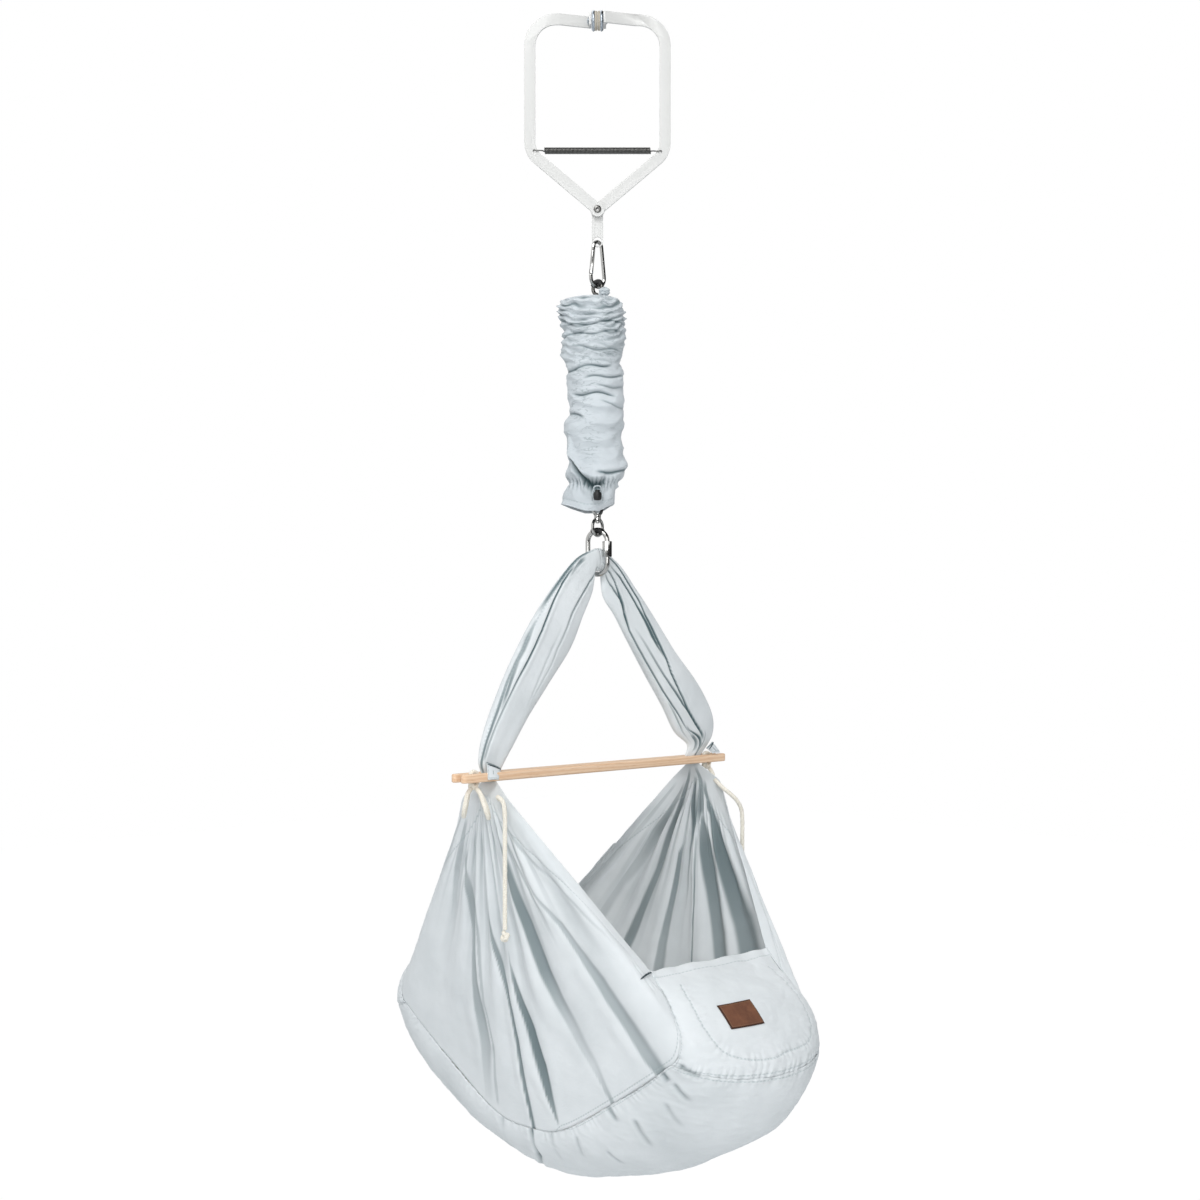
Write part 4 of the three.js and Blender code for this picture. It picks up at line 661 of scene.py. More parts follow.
right_pleats = [
    [(0.725, 0.14, 0.006, 0.5), (0.733, 0.22, 0.016, 0.65), (0.758, 0.30, 0.022, 0.6),
     (0.766, 0.39, 0.020, 0.45), (0.792, 0.51, 0.020, 0.3), (0.796, 0.64, 0.022, 0.25),
     (0.80, 0.80, 0.020, 0.1)],
    [(0.681, 0.07, 0.006, 0.7), (0.655, 0.17, 0.012, 0.85), (0.668, 0.26, 0.010, 0.8),
     (0.669, 0.40, 0.011, 0.75), (0.679, 0.54, 0.014, 0.8), (0.683, 0.64, 0.020, 0.8),
     (0.69, 0.9, 0.020, 0.5)],
    [(0.543, 0.26, 0.003, 0.3), (0.557, 0.31, 0.006, 0.8), (0.555, 0.40, 0.010, 0.85),
     (0.557, 0.48, 0.012, 0.75), (0.561, 0.58, 0.018, 0.65), (0.559, 0.66, 0.024, 0.6),
     (0.56, 0.9, 0.024, 0.4)],
    [(0.505, 0.11, 0.008, 0.9), (0.481, 0.21, 0.014, 1.0), (0.485, 0.30, 0.012, 0.8),
     (0.483, 0.35, 0.010, 0.5), (0.489, 0.43, 0.008, 0.25), (0.49, 0.5, 0.006, 0.0)],
    [(0.391, 0.06, 0.008, 0.7), (0.405, 0.18, 0.014, 0.85), (0.419, 0.22, 0.008, 0.4),
     (0.42, 0.28, 0.006, 0.0)],
    [(0.423, 0.28, 0.003, 0.5), (0.427, 0.40, 0.0045, 0.85), (0.431, 0.52, 0.0045, 0.85),
     (0.434, 0.64, 0.0045, 0.85), (0.435, 0.9, 0.0045, 0.5)],
    [(0.373, 0.22, 0.008, 0.8), (0.361, 0.29, 0.026, 0.95), (0.345, 0.37, 0.034, 0.95),
     (0.333, 0.48, 0.040, 0.85), (0.323, 0.59, 0.044, 0.8), (0.325, 0.9, 0.050, 0.75)],
    [(0.327, 0.12, 0.008, 0.8), (0.281, 0.20, 0.012, 0.95), (0.253, 0.33, 0.030, 1.0),
     (0.238, 0.45, 0.040, 0.95), (0.222, 0.58, 0.050, 0.85), (0.228, 0.9, 0.056, 0.8)],
    [(0.860, 0.15, 0.006, 0.3), (0.870, 0.35, 0.012, 0.25), (0.880, 0.6, 0.016, 0.0)],
]
for side, name, pleats, seed in ((-1, "left", left_pleats, 1.3), (1, "right", right_pleats, 5.1)):
    turn = slice(None, None, -side)
    # The third grid is the wall's painted shade.
    grid, lines, folds = [rows[turn] for rows in side_wall(side, pleats, seed)]
    wall_cloth = cloth_sheet("wall_" + name, grid, lines, folds)
    stands_for(wall_cloth, "side_panel_" + name, "cradle")

# Creases run down the seat from the feet of the wall's deepest valleys: from and to as (share along,
# angle in degrees), width and depth in metres.
creases = [
    (0.493, -89, 0.493, -60, 0.0055, 0.0095), (0.493, -63, 0.517, -38, 0.0045, 0.0095),
    (0.285, -72, 0.305, -50, 0.0050, 0.0040), (0.365, -61, 0.365, -46, 0.0045, 0.0030),
    (0.150, -83, 0.158, -62, 0.0050, 0.0045), (0.186, -76, 0.200, -60, 0.0050, 0.0040),
    (0.311, -89, 0.311, -77, 0.0060, 0.0045), (0.180, -89, 0.188, -80, 0.0070, 0.0055),
    (0.561, -88, 0.553, -50, 0.0060, 0.0030), (0.451, -88, 0.455, -60, 0.0050, 0.0025),
    (0.225, -70, 0.245, -52, 0.0050, 0.0025), (0.40, -80, 0.41, -62, 0.0050, 0.0025),
]
creases += [(1 - a, -b, 1 - c, -d, w, h * 0.8) for a, b, c, d, w, h in creases[:6]]
creases += [(a, -b, c, -d, w, h * 0.8) for a, b, c, d, w, h in creases[:4]]


def sewn_seat(first, last, columns, rows, seed, crush):
    edge = math.radians(90) - 0.004
    a, t = np.meshgrid(np.linspace(first, last, columns), np.linspace(-edge, edge, rows), indexing="ij")
    points = seat_point(a, t)
    face = normals(points)
    middle = np.array([0, 0, -1.55])
    face *= np.sign(((points - middle) * face).sum(axis=2))[..., None]
    height, fold = np.zeros_like(a), np.zeros_like(a)
    for a0, t0, a1, t1, width, deep in creases:
        start, end = [seat_point(np.array(s), np.radians(np.array(d))) for s, d in ((a0, t0), (a1, t1))]
        line = end - start
        s = ((points - start) @ line) / np.linalg.norm(line)**2
        off = np.linalg.norm(points - start - np.clip(s, 0, 1)[..., None] * line, axis=2)
        taper = smooth(s, -0.15, 0.1) * (1 - smooth(s, 0.65, 1.1))
        height += deep * taper * (0.55 * bell(off, width * 2.6) - bell(off, width))
        # The crease is sunk into the cloth, and its line is also darkened with painted shade.
        fold += min(deep / 0.008, 1) * taper * bell(off, width * 0.8)
    height += crush * 0.0030 * crumple(points * np.array([0.6, 1, 1]), 0.085, seed)
    height += crush * 0.0013 * crumple(points, 0.030, seed + 2)
    height += crush * 0.0006 * crumple(points * np.array([1, 1, 2.2]), 0.014, seed + 4)
    return a, t, points, face, height, fold


# The seat is sewn from a rounded middle panel and two end panels. Each end seam is ruffled, and the near end
# panel has a second seam in the shape of a U inside it, so that cloth between the two puckers.
inner_u = [
    (0.030, -0.765), (0.062, -0.804), (0.095, -0.800), (0.122, -0.690), (0.133, -0.489), (0.137, -0.133),
    (0.134, 0.086), (0.133, 0.502), (0.122, 0.690), (0.095, 0.800), (0.062, 0.804), (0.030, 0.765),
]


def pulled(run, pitch, sway, change):
    # Puckers along a seam, at a pitch in metres that changes slowly.
    return np.sin(run * 2 * math.pi / pitch + sway * np.sin(run * 2 * math.pi / change))


def nearer(stitch, gap, run):
    # The seam marks, with another line of stitches wherever that one is the nearest.
    closer = np.abs(gap) < np.abs(stitch[..., 0])
    return np.where(closer[..., None], np.stack([gap, run], axis=2), stitch)


def seat_panel(name, first, last, columns, rows, seed, crush):
    a, t, points, face, height, fold = sewn_seat(first, last, columns, rows, seed, crush)
    own = np.linspace(0, 1, columns)[:, None] + 0 * t
    panel_length = (last - first) * profile_length
    girth = np.linalg.norm(np.diff(points, axis=1), axis=2).sum(axis=1)[:, None]
    ends = np.minimum(own, 1 - own) * panel_length if name == "seat_middle" else (
        (1 - own) * panel_length if first < 0.5 else own * panel_length)
    run = (t / math.pi + 0.5) * girth
    ticks = pulled(run, 0.0125, 1.7, 0.05)
    height += 0.0009 * ticks * bell(ends, 0.013) - 0.0010 * bell(ends, 0.003)
    # Painted shade in the puckers along the end seam.
    fold += 0.16 * smooth(-ticks, 0.2, 1) * bell(ends, 0.012)
    sides = (math.pi / 2 - np.abs(t)) / math.pi * girth
    side_run = a * profile_length
    height += 0.0007 * pulled(side_run, 0.016, 2.1, 0.07) * bell(sides, 0.014)
    hidden = 0.05 * smooth(a, 0.40, 0.48)
    stitch = np.where((sides < ends)[..., None], np.stack([sides - side_seam + hidden, side_run], axis=2),
                      np.stack([ends - side_seam, run], axis=2))
    if first == 0:
        shares, across = np.array(inner_u).T
        line = smooth_line(seat_point(shares, np.arcsin(across)), 300)
        seam_run = np.linspace(0, length_of(line), len(line))
        gap = np.full(a.shape, 9.0)
        at = np.zeros(a.shape)
        for k in range(len(line)):
            far = np.linalg.norm(points - line[k], axis=2)
            at = np.where(far < gap, seam_run[k], at)
            gap = np.minimum(gap, far)
        gap = np.maximum(gap - 0.0006, 0)
        height += 0.0006 * pulled(at, 0.014, 1.9, 0.06) * bell(gap, 0.009) - 0.0006 * bell(gap, 0.0022)
        stitch = nearer(stitch, gap, at)
        top = own * panel_length
        height += 0.0010 * np.sin(run * 2 * math.pi / 0.05 + 1) * bell(top, 0.03)
        stitch = nearer(stitch, top - top_hem, run)
        # The cloth lies flat behind the leather label.
        reach = seam_point(a, 1)[..., 0]
        aside = np.maximum(np.abs(np.sin(t) * reach - label_shift) - 0.034,
                           np.abs(a - label_along) * profile_length - 0.022)
        height *= smooth(aside, 0, 0.02)
    grid = points + face * height[..., None]
    return cloth_sheet(name, grid[::-1], stitch[::-1], fold[::-1])


for name, first, last, columns, rows, seed, stand_in, flat in (
    ("end_near", 0.0, 0.155, 150, 300, 2.2, "end_panel_near", (0.20, 0.46)),
    ("seat_middle", 0.155, 0.845, 420, 110, 8.4, "bottom_panel", (0.88, 0.46)),
    ("end_far", 0.845, 1.0, 110, 200, 4.6, "end_panel_far", (0.20, 0.46)),
):
    panel = seat_panel(name, first, last, columns, rows, seed, 1.0 if name != "end_near" else 1.25)
    stands_for(panel, stand_in, "cradle")

# Mattress: a soft pad in a wool-filled cotton cover, lying in the seat under its own weight. It is a crowned
# form with a tufted top and drawn-in corners, its edge piped all round.
pad_long, pad_wide, pad_thick, pad_lift = 0.62, 0.30, 0.034, 0.0085
pad_share_along, pad_share_across = 0.54, 0.56
tuft_rows, tuft_columns, tuft_radius = 5, 3, 0.014
piping_radius, piping_proud = 0.0021, 0.0008
pad_steps = (150, 90)


def rim_of(columns, rows):
    # The places round a grid's edge, in order.
    rim = [(i, 0) for i in range(columns)] + [(columns - 1, j) for j in range(1, rows)]
    rim += [(i, rows - 1) for i in range(columns - 2, -1, -1)]
    return rim + [(0, j) for j in range(rows - 2, 0, -1)]


def slab(name, low, high, **layers):
    # A closed solid between a lower and an upper grid of points.
    columns, rows = low.shape[:2]
    count = columns * rows
    faces = [(a, d, c, b) for a, b, c, d in grid_faces(columns, rows)]
    faces += [tuple(count + k for k in face) for face in grid_faces(columns, rows)]
    ring = [i * rows + j for i, j in rim_of(columns, rows)]
    faces += [(a, b, count + b, count + a) for a, b in zip(ring, ring[1:] + ring[:1])]
    return link_mesh(name, np.concatenate([low.reshape(-1, 3), high.reshape(-1, 3)]), faces, **layers)


def mattress_grid(columns, rows):
    u, v = np.meshgrid(np.linspace(0, 1, columns), np.linspace(0, 1, rows), indexing="ij")
    bulge = lambda s: np.sqrt(np.maximum(1 - np.abs(2 * s - 1) ** 6, 0))
    floor_at = seat_point(0.5 + (u - 0.5) * pad_share_along, (v - 0.5) * math.pi * pad_share_across)
    up = normals(floor_at)
    up *= np.sign(up[..., 2])[..., None]
    body = pad_thick * (0.22 + 0.78 * bulge(u) * bulge(v))
    tufts = 0
    for i in range(tuft_rows):
        for j in range(tuft_columns):
            off = np.hypot((u - (i + 0.5) / tuft_rows) * pad_long, (v - (j + 0.5) / tuft_columns) * pad_wide)
            tufts = tufts + bell(off, tuft_radius)
    body = body * (1 - 0.30 * tufts) + 0.0016 * crumple(floor_at, 0.05, 9.1)
    return floor_at + up * pad_lift, floor_at + up * (pad_lift + np.maximum(body, 0.004))[..., None]


low, high = mattress_grid(*pad_steps)
points = np.concatenate([low.reshape(-1, 3), high.reshape(-1, 3)])
pad = slab("mattress_pad", low, high, cloth=points[:, 1::-1], seam=np.full((len(points), 2), 0.5))
edge = np.array([(low[place] + high[place]) / 2 for place in rim_of(*pad_steps)])
out = edge - edge.mean(axis=0)
out[:, 2] = 0
edge = edge + out / np.linalg.norm(out, axis=1)[:, None] * piping_proud
piping = tube("mattress_piping", edge, piping_radius, 10, looped=True)
# Undyed cotton: the same weave, warmer and paler than the seat's.
pad_cover = recoloured("pad_cover", "#E4E1D6", "#F0EDE4")
for part in (pad, piping):
    part.data.materials.append(pad_cover)
    rides_on_cradle(part)
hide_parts("mattress")

# Leather label: a bare patch of brown vegetable-tanned hide with a darker pressed border, sewn round its
# edge to the near end panel.


def leather_material():
    # Waxed hide: dull, mottled brown patches a centimetre or two across, with pores a millimetre apart and
    # fine wear marks, and an edge burnished dark over its outer 2 mm.
    made, tree, skin = material("brown_leather", Roughness=0.62, Specular_IOR_Level=0.35)
    where = node(tree, "ShaderNodeTexCoord", (-1200, 0)).outputs["Object"]
    grain = node(tree, "ShaderNodeTexVoronoi", (-900, -100), where, Scale=900)
    patch = node(tree, "ShaderNodeTexNoise", (-900, 200), where, Scale=60, Detail=4, Roughness=0.65)
    streak = node(tree, "ShaderNodeTexNoise", (-900, -400), where, Scale=260, Detail=3, Distortion=1.2)
    tint = node(tree, "ShaderNodeValToRGB", (-650, 200), patch, stops=((0.3, "#63402F"), (0.72, "#80543D")))
    map_at = node(tree, "ShaderNodeUVMap", (-1200, 500), uv_map="cloth")
    apart = node(tree, "ShaderNodeSeparateXYZ", (-1050, 500), map_at)
    border = node(tree, "ShaderNodeMapRange", (-850, 500), apart.outputs["X"], From_Min=0.0012,
                  From_Max=0.0026, interpolation_type="SMOOTHSTEP")
    dark = node(tree, "ShaderNodeMix", (-400, 300), data_type="RGBA", Factor=border, A="#3E2519", B=tint)
    pores = node(tree, "ShaderNodeBump", (-400, -100), Strength=0.5, Distance=0.00025, Height=grain)
    wear = node(tree, "ShaderNodeBump", (-200, -250), Strength=0.35, Distance=0.0003, Height=streak,
                Normal=pores)
    fill(tree, skin, {"Base Color": dark, "Normal": wear})
    return made


def on_label(x, y, lift):
    # x runs across the patch and y down it, in metres from its middle.
    along = label_along + y / profile_length
    reach = seam_point(np.array(along), 1)[..., 0]
    place = seat_point(np.array(along), np.arcsin((label_shift + x) / reach))
    ahead = seat_point(np.array(along + 0.01), np.array(0.0)) - seat_point(np.array(along), np.array(0.0))
    out = np.stack([0 * ahead[..., 0], ahead[..., 2], -ahead[..., 1]], axis=-1)
    return place + out / np.linalg.norm(out, axis=-1)[..., None] * np.asarray(lift)[..., None]


def label_patch():
    x, y = np.meshgrid(np.linspace(-0.5, 0.5, 67) * label_wide, np.linspace(-0.5, 0.5, 43) * label_tall,
                       indexing="ij")
    inset = np.minimum(label_wide / 2 - np.abs(x), label_tall / 2 - np.abs(y))
    top = 0.0026 - 0.0007 * (1 - smooth(inset, 0, 0.0012)) - 0.00022 * bell(inset - 0.0030, 0.0007)
    border = np.stack([inset, x], axis=2).reshape(-1, 2)
    return slab("label_patch", on_label(x, y, 0 * x + 0.0009), on_label(x, y, top),
                cloth=np.concatenate([border * 0, border]))


def label_stitches():
    # Short threads, each dipping into its holes, 3 mm inside the edge.
    half_w, half_t = label_wide / 2 - label_inset, label_tall / 2 - label_inset
    parts = []
    for x0, y0, x1, y1 in ((-1, -1, 1, -1), (1, -1, 1, 1), (1, 1, -1, 1), (-1, 1, -1, -1)):
        count = round(2 * (half_w if y0 == y1 else half_t) / label_pitch)
        for k in range(count):
            t = np.linspace((k + 0.12) / count, (k + 0.88) / count, 6)
            dip = 0.00225 + 0.00055 * np.sin(math.pi * np.linspace(0, 1, 6))
            line = on_label((x0 + (x1 - x0) * t) * half_w, (y0 + (y1 - y0) * t) * half_t, dip)
            parts.append(tube(f"stitch_{len(parts)}", line, label_thread / 2, 6))
    pick_out(*parts)
    bpy.ops.object.join()
    parts[0].name = "label_stitches"
    return parts[0]


patch = label_patch()
patch.data.materials.append(leather_material())
stitches = label_stitches()
# Waxed linen thread, brown from the hide it is drawn through.
stitches.data.materials.append(material("stitch_thread", Base_Color="#8A6B52", Roughness=0.8)[0])
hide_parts("leather_label")
for part, slot in ((patch, "leather"), (stitches, "cotton")):
    rides_on_cradle(part)

# Spreader bar: planed and oiled beech, 32 by 13 mm, with a fork sawn and rounded at each end.

# Points nearer than the first are one, faces that turn less than the second are one, and edges that turn
# less than the third are rounded.
same_spot, flat_turn, round_turn = 1e-6, math.radians(1), math.radians(38)


def finer(name, width, finish, body, segments=3, turn=30, merge=True):
    # The solid's shape in the solid's place, its edges broken, as cut or pressed metal and wood have them.
    source = bpy.data.objects[name]
    made = bpy.data.objects.new("worn_" + name, source.data.copy())
    bpy.context.scene.collection.objects.link(made)
    pick_out(made)
    made.data.materials.clear()
    shape = bmesh.new()
    shape.from_mesh(made.data)
    bmesh.ops.remove_doubles(shape, verts=shape.verts, dist=same_spot)
    if merge:
        bmesh.ops.dissolve_limit(shape, angle_limit=flat_turn, verts=shape.verts, edges=shape.edges)
    shape.to_mesh(made.data)
    shape.free()
    soft_edge = made.modifiers.new("broken_edge", "BEVEL")
    soft_edge.width = width
    soft_edge.segments = segments
    soft_edge.limit_method = "ANGLE"
    soft_edge.angle_limit = math.radians(turn)
    soft_edge.use_clamp_overlap = True
    bpy.ops.object.modifier_apply(modifier="broken_edge")
    bpy.ops.object.shade_smooth_by_angle(angle=round_turn)
    made.data.materials.append(finish)
    stands_for(made, name, body)


def beech_material():
    # Oiled beech: half dull, pinkish straw with faint growth lines along the bar, dark flecks about a
    # millimetre wide and a centimetre long, and slow changes of tone every few centimetres.
    made, tree, skin = material("oiled_beech", Roughness=0.5, Specular_IOR_Level=0.35)
    where = node(tree, "ShaderNodeTexCoord", (-1400, 0)).outputs["Object"]
    squeeze = node(tree, "ShaderNodeMapping", (-1200, 0), where, Scale=(0.07, 1, 1))
    rings = node(tree, "ShaderNodeTexWave", (-950, 200), squeeze, Scale=60, Distortion=7, Detail=3,
                 bands_direction="Z", Detail_Scale=1.6).outputs["Fac"]
    fleck = node(tree, "ShaderNodeTexNoise", (-950, -100), squeeze, Scale=900, Detail=2)
    tone = node(tree, "ShaderNodeTexNoise", (-950, -350), squeeze, Scale=26, Detail=3)
    wood = node(tree, "ShaderNodeValToRGB", (-700, 200), rings, stops=((0, "#E3C3A4"), (1, "#EED5BB")))
    spots = node(tree, "ShaderNodeMapRange", (-700, -100), fleck, From_Min=0.58, From_Max=0.72)
    soft_spot = node(tree, "ShaderNodeMath", (-560, -80), spots, 0.45, operation="MULTIPLY")
    dotted = node(tree, "ShaderNodeMix", (-450, 150), data_type="RGBA", Factor=soft_spot, A=wood, B="#CBA27E")
    shade = node(tree, "ShaderNodeMix", (-250, 100), data_type="RGBA", blend_type="MULTIPLY", Factor=tone,
                 A=dotted, B="#F4E6D8")
    pores = node(tree, "ShaderNodeBump", (-250, -200), Strength=0.3, Distance=0.0002, Height=rings)
    fill(tree, skin, {"Base Color": shade, "Normal": pores})
    return made


finer("spreader_bar", 0.0008, beech_material(), "cradle", turn=40)

# Slings: each is a wide band of the same cotton, folded on itself lengthwise, that passes through the quick
# link, opens into a broad leg and is drawn into the bar's fork. Its sewn end shows as a tab on the bar.

sling_top_z, sling_drop, sling_spread, sling_thick = -0.8626, 0.3304, 0.228, 0.017
# Stations down each leg, as shares of its spread and drop: the outer edge, the inner edge, and its thickness.
sling_shares = {
    "left": [
        [0.21, 0.005, 0.056, -0.153, 0.4], [0.399, -0.11, 0.152, -0.272, 0.62],
        [0.607, -0.273, 0.279, -0.427, 0.85], [0.797, -0.464, 0.482, -0.583, 1],
        [0.959, -0.657, 0.678, -0.737, 0.95], [1.07, -0.82, 0.817, -0.87, 0.72],
        [1.107, -0.928, 0.898, -0.954, 0.4],
    ],
    "right": [
        [0.221, -0.023, 0.055, -0.173, 0.4], [0.371, -0.13, 0.176, -0.269, 0.62],
        [0.568, -0.279, 0.324, -0.404, 0.85], [0.786, -0.451, 0.494, -0.558, 1],
        [1.038, -0.619, 0.668, -0.716, 0.95], [1.197, -0.774, 0.798, -0.853, 0.72],
        [1.206, -0.882, 0.933, -0.924, 0.4],
    ],
}


def through(stations, steps):
    # Evenly spaced rows of numbers on a smooth curve through the given rows.
    first = [2 * a - b for a, b in zip(stations[0], stations[1])]
    last = [2 * a - b for a, b in zip(stations[-1], stations[-2])]
    rows = np.array([first, *stations, last], dtype=float)

    def at(place):
        k = np.minimum(place.astype(int), len(stations) - 2)
        t = (place - k)[:, None]
        p0, p1, p2, p3 = rows[k], rows[k + 1], rows[k + 2], rows[k + 3]
        return 0.5 * (2 * p1 + (p2 - p0) * t + (2 * p0 - 5 * p1 + 4 * p2 - p3) * t**2
                      + (3 * p1 - p0 - 3 * p2 + p3) * t**3)

    places = np.linspace(0, len(stations) - 1, 2000)
    fine = at(places)
    run = run_along((fine[:, 0:2] + fine[:, 2:4]) / 2)
    return at(np.interp(np.linspace(0, run[-1], steps), run, places)), run[-1]


def sling_rows(side, steps):
    bar_z, half, neck = -1.193, 0.0195, 0.0044
    stations = [[x, sling_top_z + 0.018, x, sling_top_z - 0.018, 0.007] for x in (0.00015, 0.008)]
    stations += [
        [a * sling_spread, sling_top_z + b * sling_drop, c * sling_spread, sling_top_z + d * sling_drop,
         e * sling_thick] for a, b, c, d, e in sling_shares[side]
    ]
    stations += [[sling_spread + half, z, sling_spread - half, z, neck]
                 for z in (bar_z + 0.0068, bar_z + 0.00015)]
    return through(stations, steps)


# Fold lines, as rows of (share across from the outer to the inner edge, share down, width in metres, painted
# shade).
sling_folds = {
    "left": [
        [(-0.97, 0.06, 0.0022, 0.8), (-0.96, 0.20, 0.0026, 0.85), (-0.97, 0.30, 0.0024, 0.7),
         (-0.98, 0.36, 0.0020, 0.1)],
        [(-0.78, 0.095, 0.0050, 0.7), (-0.76, 0.155, 0.0036, 0.3)],
        [(-0.87, 0.153, 0.0022, 0.7), (-0.86, 0.216, 0.0023, 0.9), (-0.78, 0.286, 0.0023, 0.95),
         (-0.70, 0.351, 0.0023, 0.95), (-0.63, 0.419, 0.0023, 0.95), (-0.61, 0.494, 0.0023, 0.95),
         (-0.62, 0.579, 0.0023, 0.85), (-0.68, 0.662, 0.0022, 0.65), (-0.71, 0.734, 0.0022, 0.55),
         (-0.73, 0.822, 0.0022, 0.5), (-0.74, 0.93, 0.0022, 0.45)],
        [(-0.95, 0.411, 0.0022, 0.3), (-0.93, 0.469, 0.0042, 0.6), (-0.91, 0.521, 0.0040, 0.6),
         (-0.93, 0.576, 0.0030, 0.6), (-0.94, 0.659, 0.0022, 0.6), (-0.91, 0.722, 0.0024, 0.65),
         (-0.88, 0.769, 0.0024, 0.7), (-0.86, 0.842, 0.0024, 0.7), (-0.86, 0.93, 0.0024, 0.7),
         (-0.88, 0.975, 0.0026, 0.7)],
        [(-0.90, 0.576, 0.0022, 0.5), (-0.87, 0.634, 0.0024, 0.65), (-0.83, 0.70, 0.0024, 0.65),
         (-0.80, 0.739, 0.0020, 0.3)],
        [(0.75, 0.02, 0.0024, 0.5), (0.37, 0.103, 0.0026, 0.75), (0.30, 0.18, 0.0028, 0.7),
         (0.21, 0.273, 0.0028, 0.6), (0.27, 0.366, 0.0028, 0.4), (0.30, 0.434, 0.0026, 0.3),
         (0.42, 0.504, 0.0024, 0.25), (0.45, 0.654, 0.0024, 0.1)],
        [(0.03, 0.361, 0.0030, 0.05), (0.08, 0.441, 0.0030, 0.2), (0.15, 0.521, 0.0030, 0.22),
         (0.26, 0.604, 0.0030, 0.18), (0.39, 0.702, 0.0030, 0.05)],
    ],
    "right": [
        [(-0.75, 0.04, 0.0030, 0.7), (-0.77, 0.09, 0.0030, 0.8), (-0.71, 0.14, 0.0030, 0.85),
         (-0.64, 0.198, 0.0035, 0.9), (-0.56, 0.258, 0.0035, 0.95), (-0.39, 0.306, 0.0040, 0.95),
         (-0.27, 0.376, 0.0050, 0.95), (-0.15, 0.439, 0.0045, 0.95), (-0.05, 0.514, 0.0036, 0.95),
         (0.13, 0.576, 0.0034, 0.95), (0.25, 0.672, 0.0034, 0.95), (0.27, 0.754, 0.0038, 0.95),
         (0.15, 0.83, 0.0045, 0.95), (0.03, 0.89, 0.0050, 0.8)],
        [(-0.37, 0.083, 0.0022, 0.4), (-0.43, 0.13, 0.0026, 0.85), (-0.37, 0.18, 0.0030, 0.9),
         (-0.24, 0.261, 0.0032, 0.9), (-0.16, 0.331, 0.0050, 0.9), (-0.05, 0.391, 0.0060, 0.9),
         (0.01, 0.444, 0.0040, 0.85), (0.02, 0.479, 0.0030, 0.4)],
        [(0.30, 0.03, 0.0026, 0.5), (0.0, 0.08, 0.0026, 0.8), (0.0, 0.115, 0.0030, 0.9),
         (0.23, 0.158, 0.0042, 0.95), (0.44, 0.201, 0.0048, 1.0), (0.63, 0.236, 0.0042, 0.95),
         (0.83, 0.311, 0.0024, 0.75), (0.86, 0.381, 0.0023, 0.7), (0.87, 0.464, 0.0023, 0.7),
         (0.86, 0.549, 0.0023, 0.7), (0.85, 0.629, 0.0024, 0.75), (0.79, 0.709, 0.0026, 0.75),
         (0.67, 0.782, 0.0026, 0.75), (0.58, 0.86, 0.0024, 0.3)],
        [(0.60, 0.045, 0.0022, 0.4), (0.34, 0.12, 0.0026, 0.7), (0.40, 0.178, 0.0028, 0.8),
         (0.55, 0.223, 0.0026, 0.6)],
        [(0.52, 0.338, 0.0032, 0.1), (0.49, 0.401, 0.0032, 0.35), (0.50, 0.471, 0.0032, 0.5),
         (0.48, 0.556, 0.0032, 0.65), (0.44, 0.637, 0.0032, 0.75), (0.38, 0.724, 0.0032, 0.8),
         (0.22, 0.805, 0.0032, 0.8), (0.09, 0.88, 0.0032, 0.6)],
        [(0.87, 0.707, 0.0022, 0.3), (0.83, 0.767, 0.0022, 0.5), (0.80, 0.817, 0.0022, 0.45),
         (0.84, 0.887, 0.0022, 0.1)],
        [(0.54, 0.845, 0.0032, 0.5), (0.42, 0.867, 0.0040, 0.8), (0.28, 0.897, 0.0050, 0.85),
         (0.10, 0.94, 0.0050, 0.7)],
        [(0.55, 0.89, 0.0050, 0.7), (0.45, 0.94, 0.0050, 0.5)],
        [(-0.20, 0.90, 0.0036, 0.3), (-0.05, 0.95, 0.0040, 0.6), (0.0, 0.98, 0.0040, 0.6)],
    ],
}


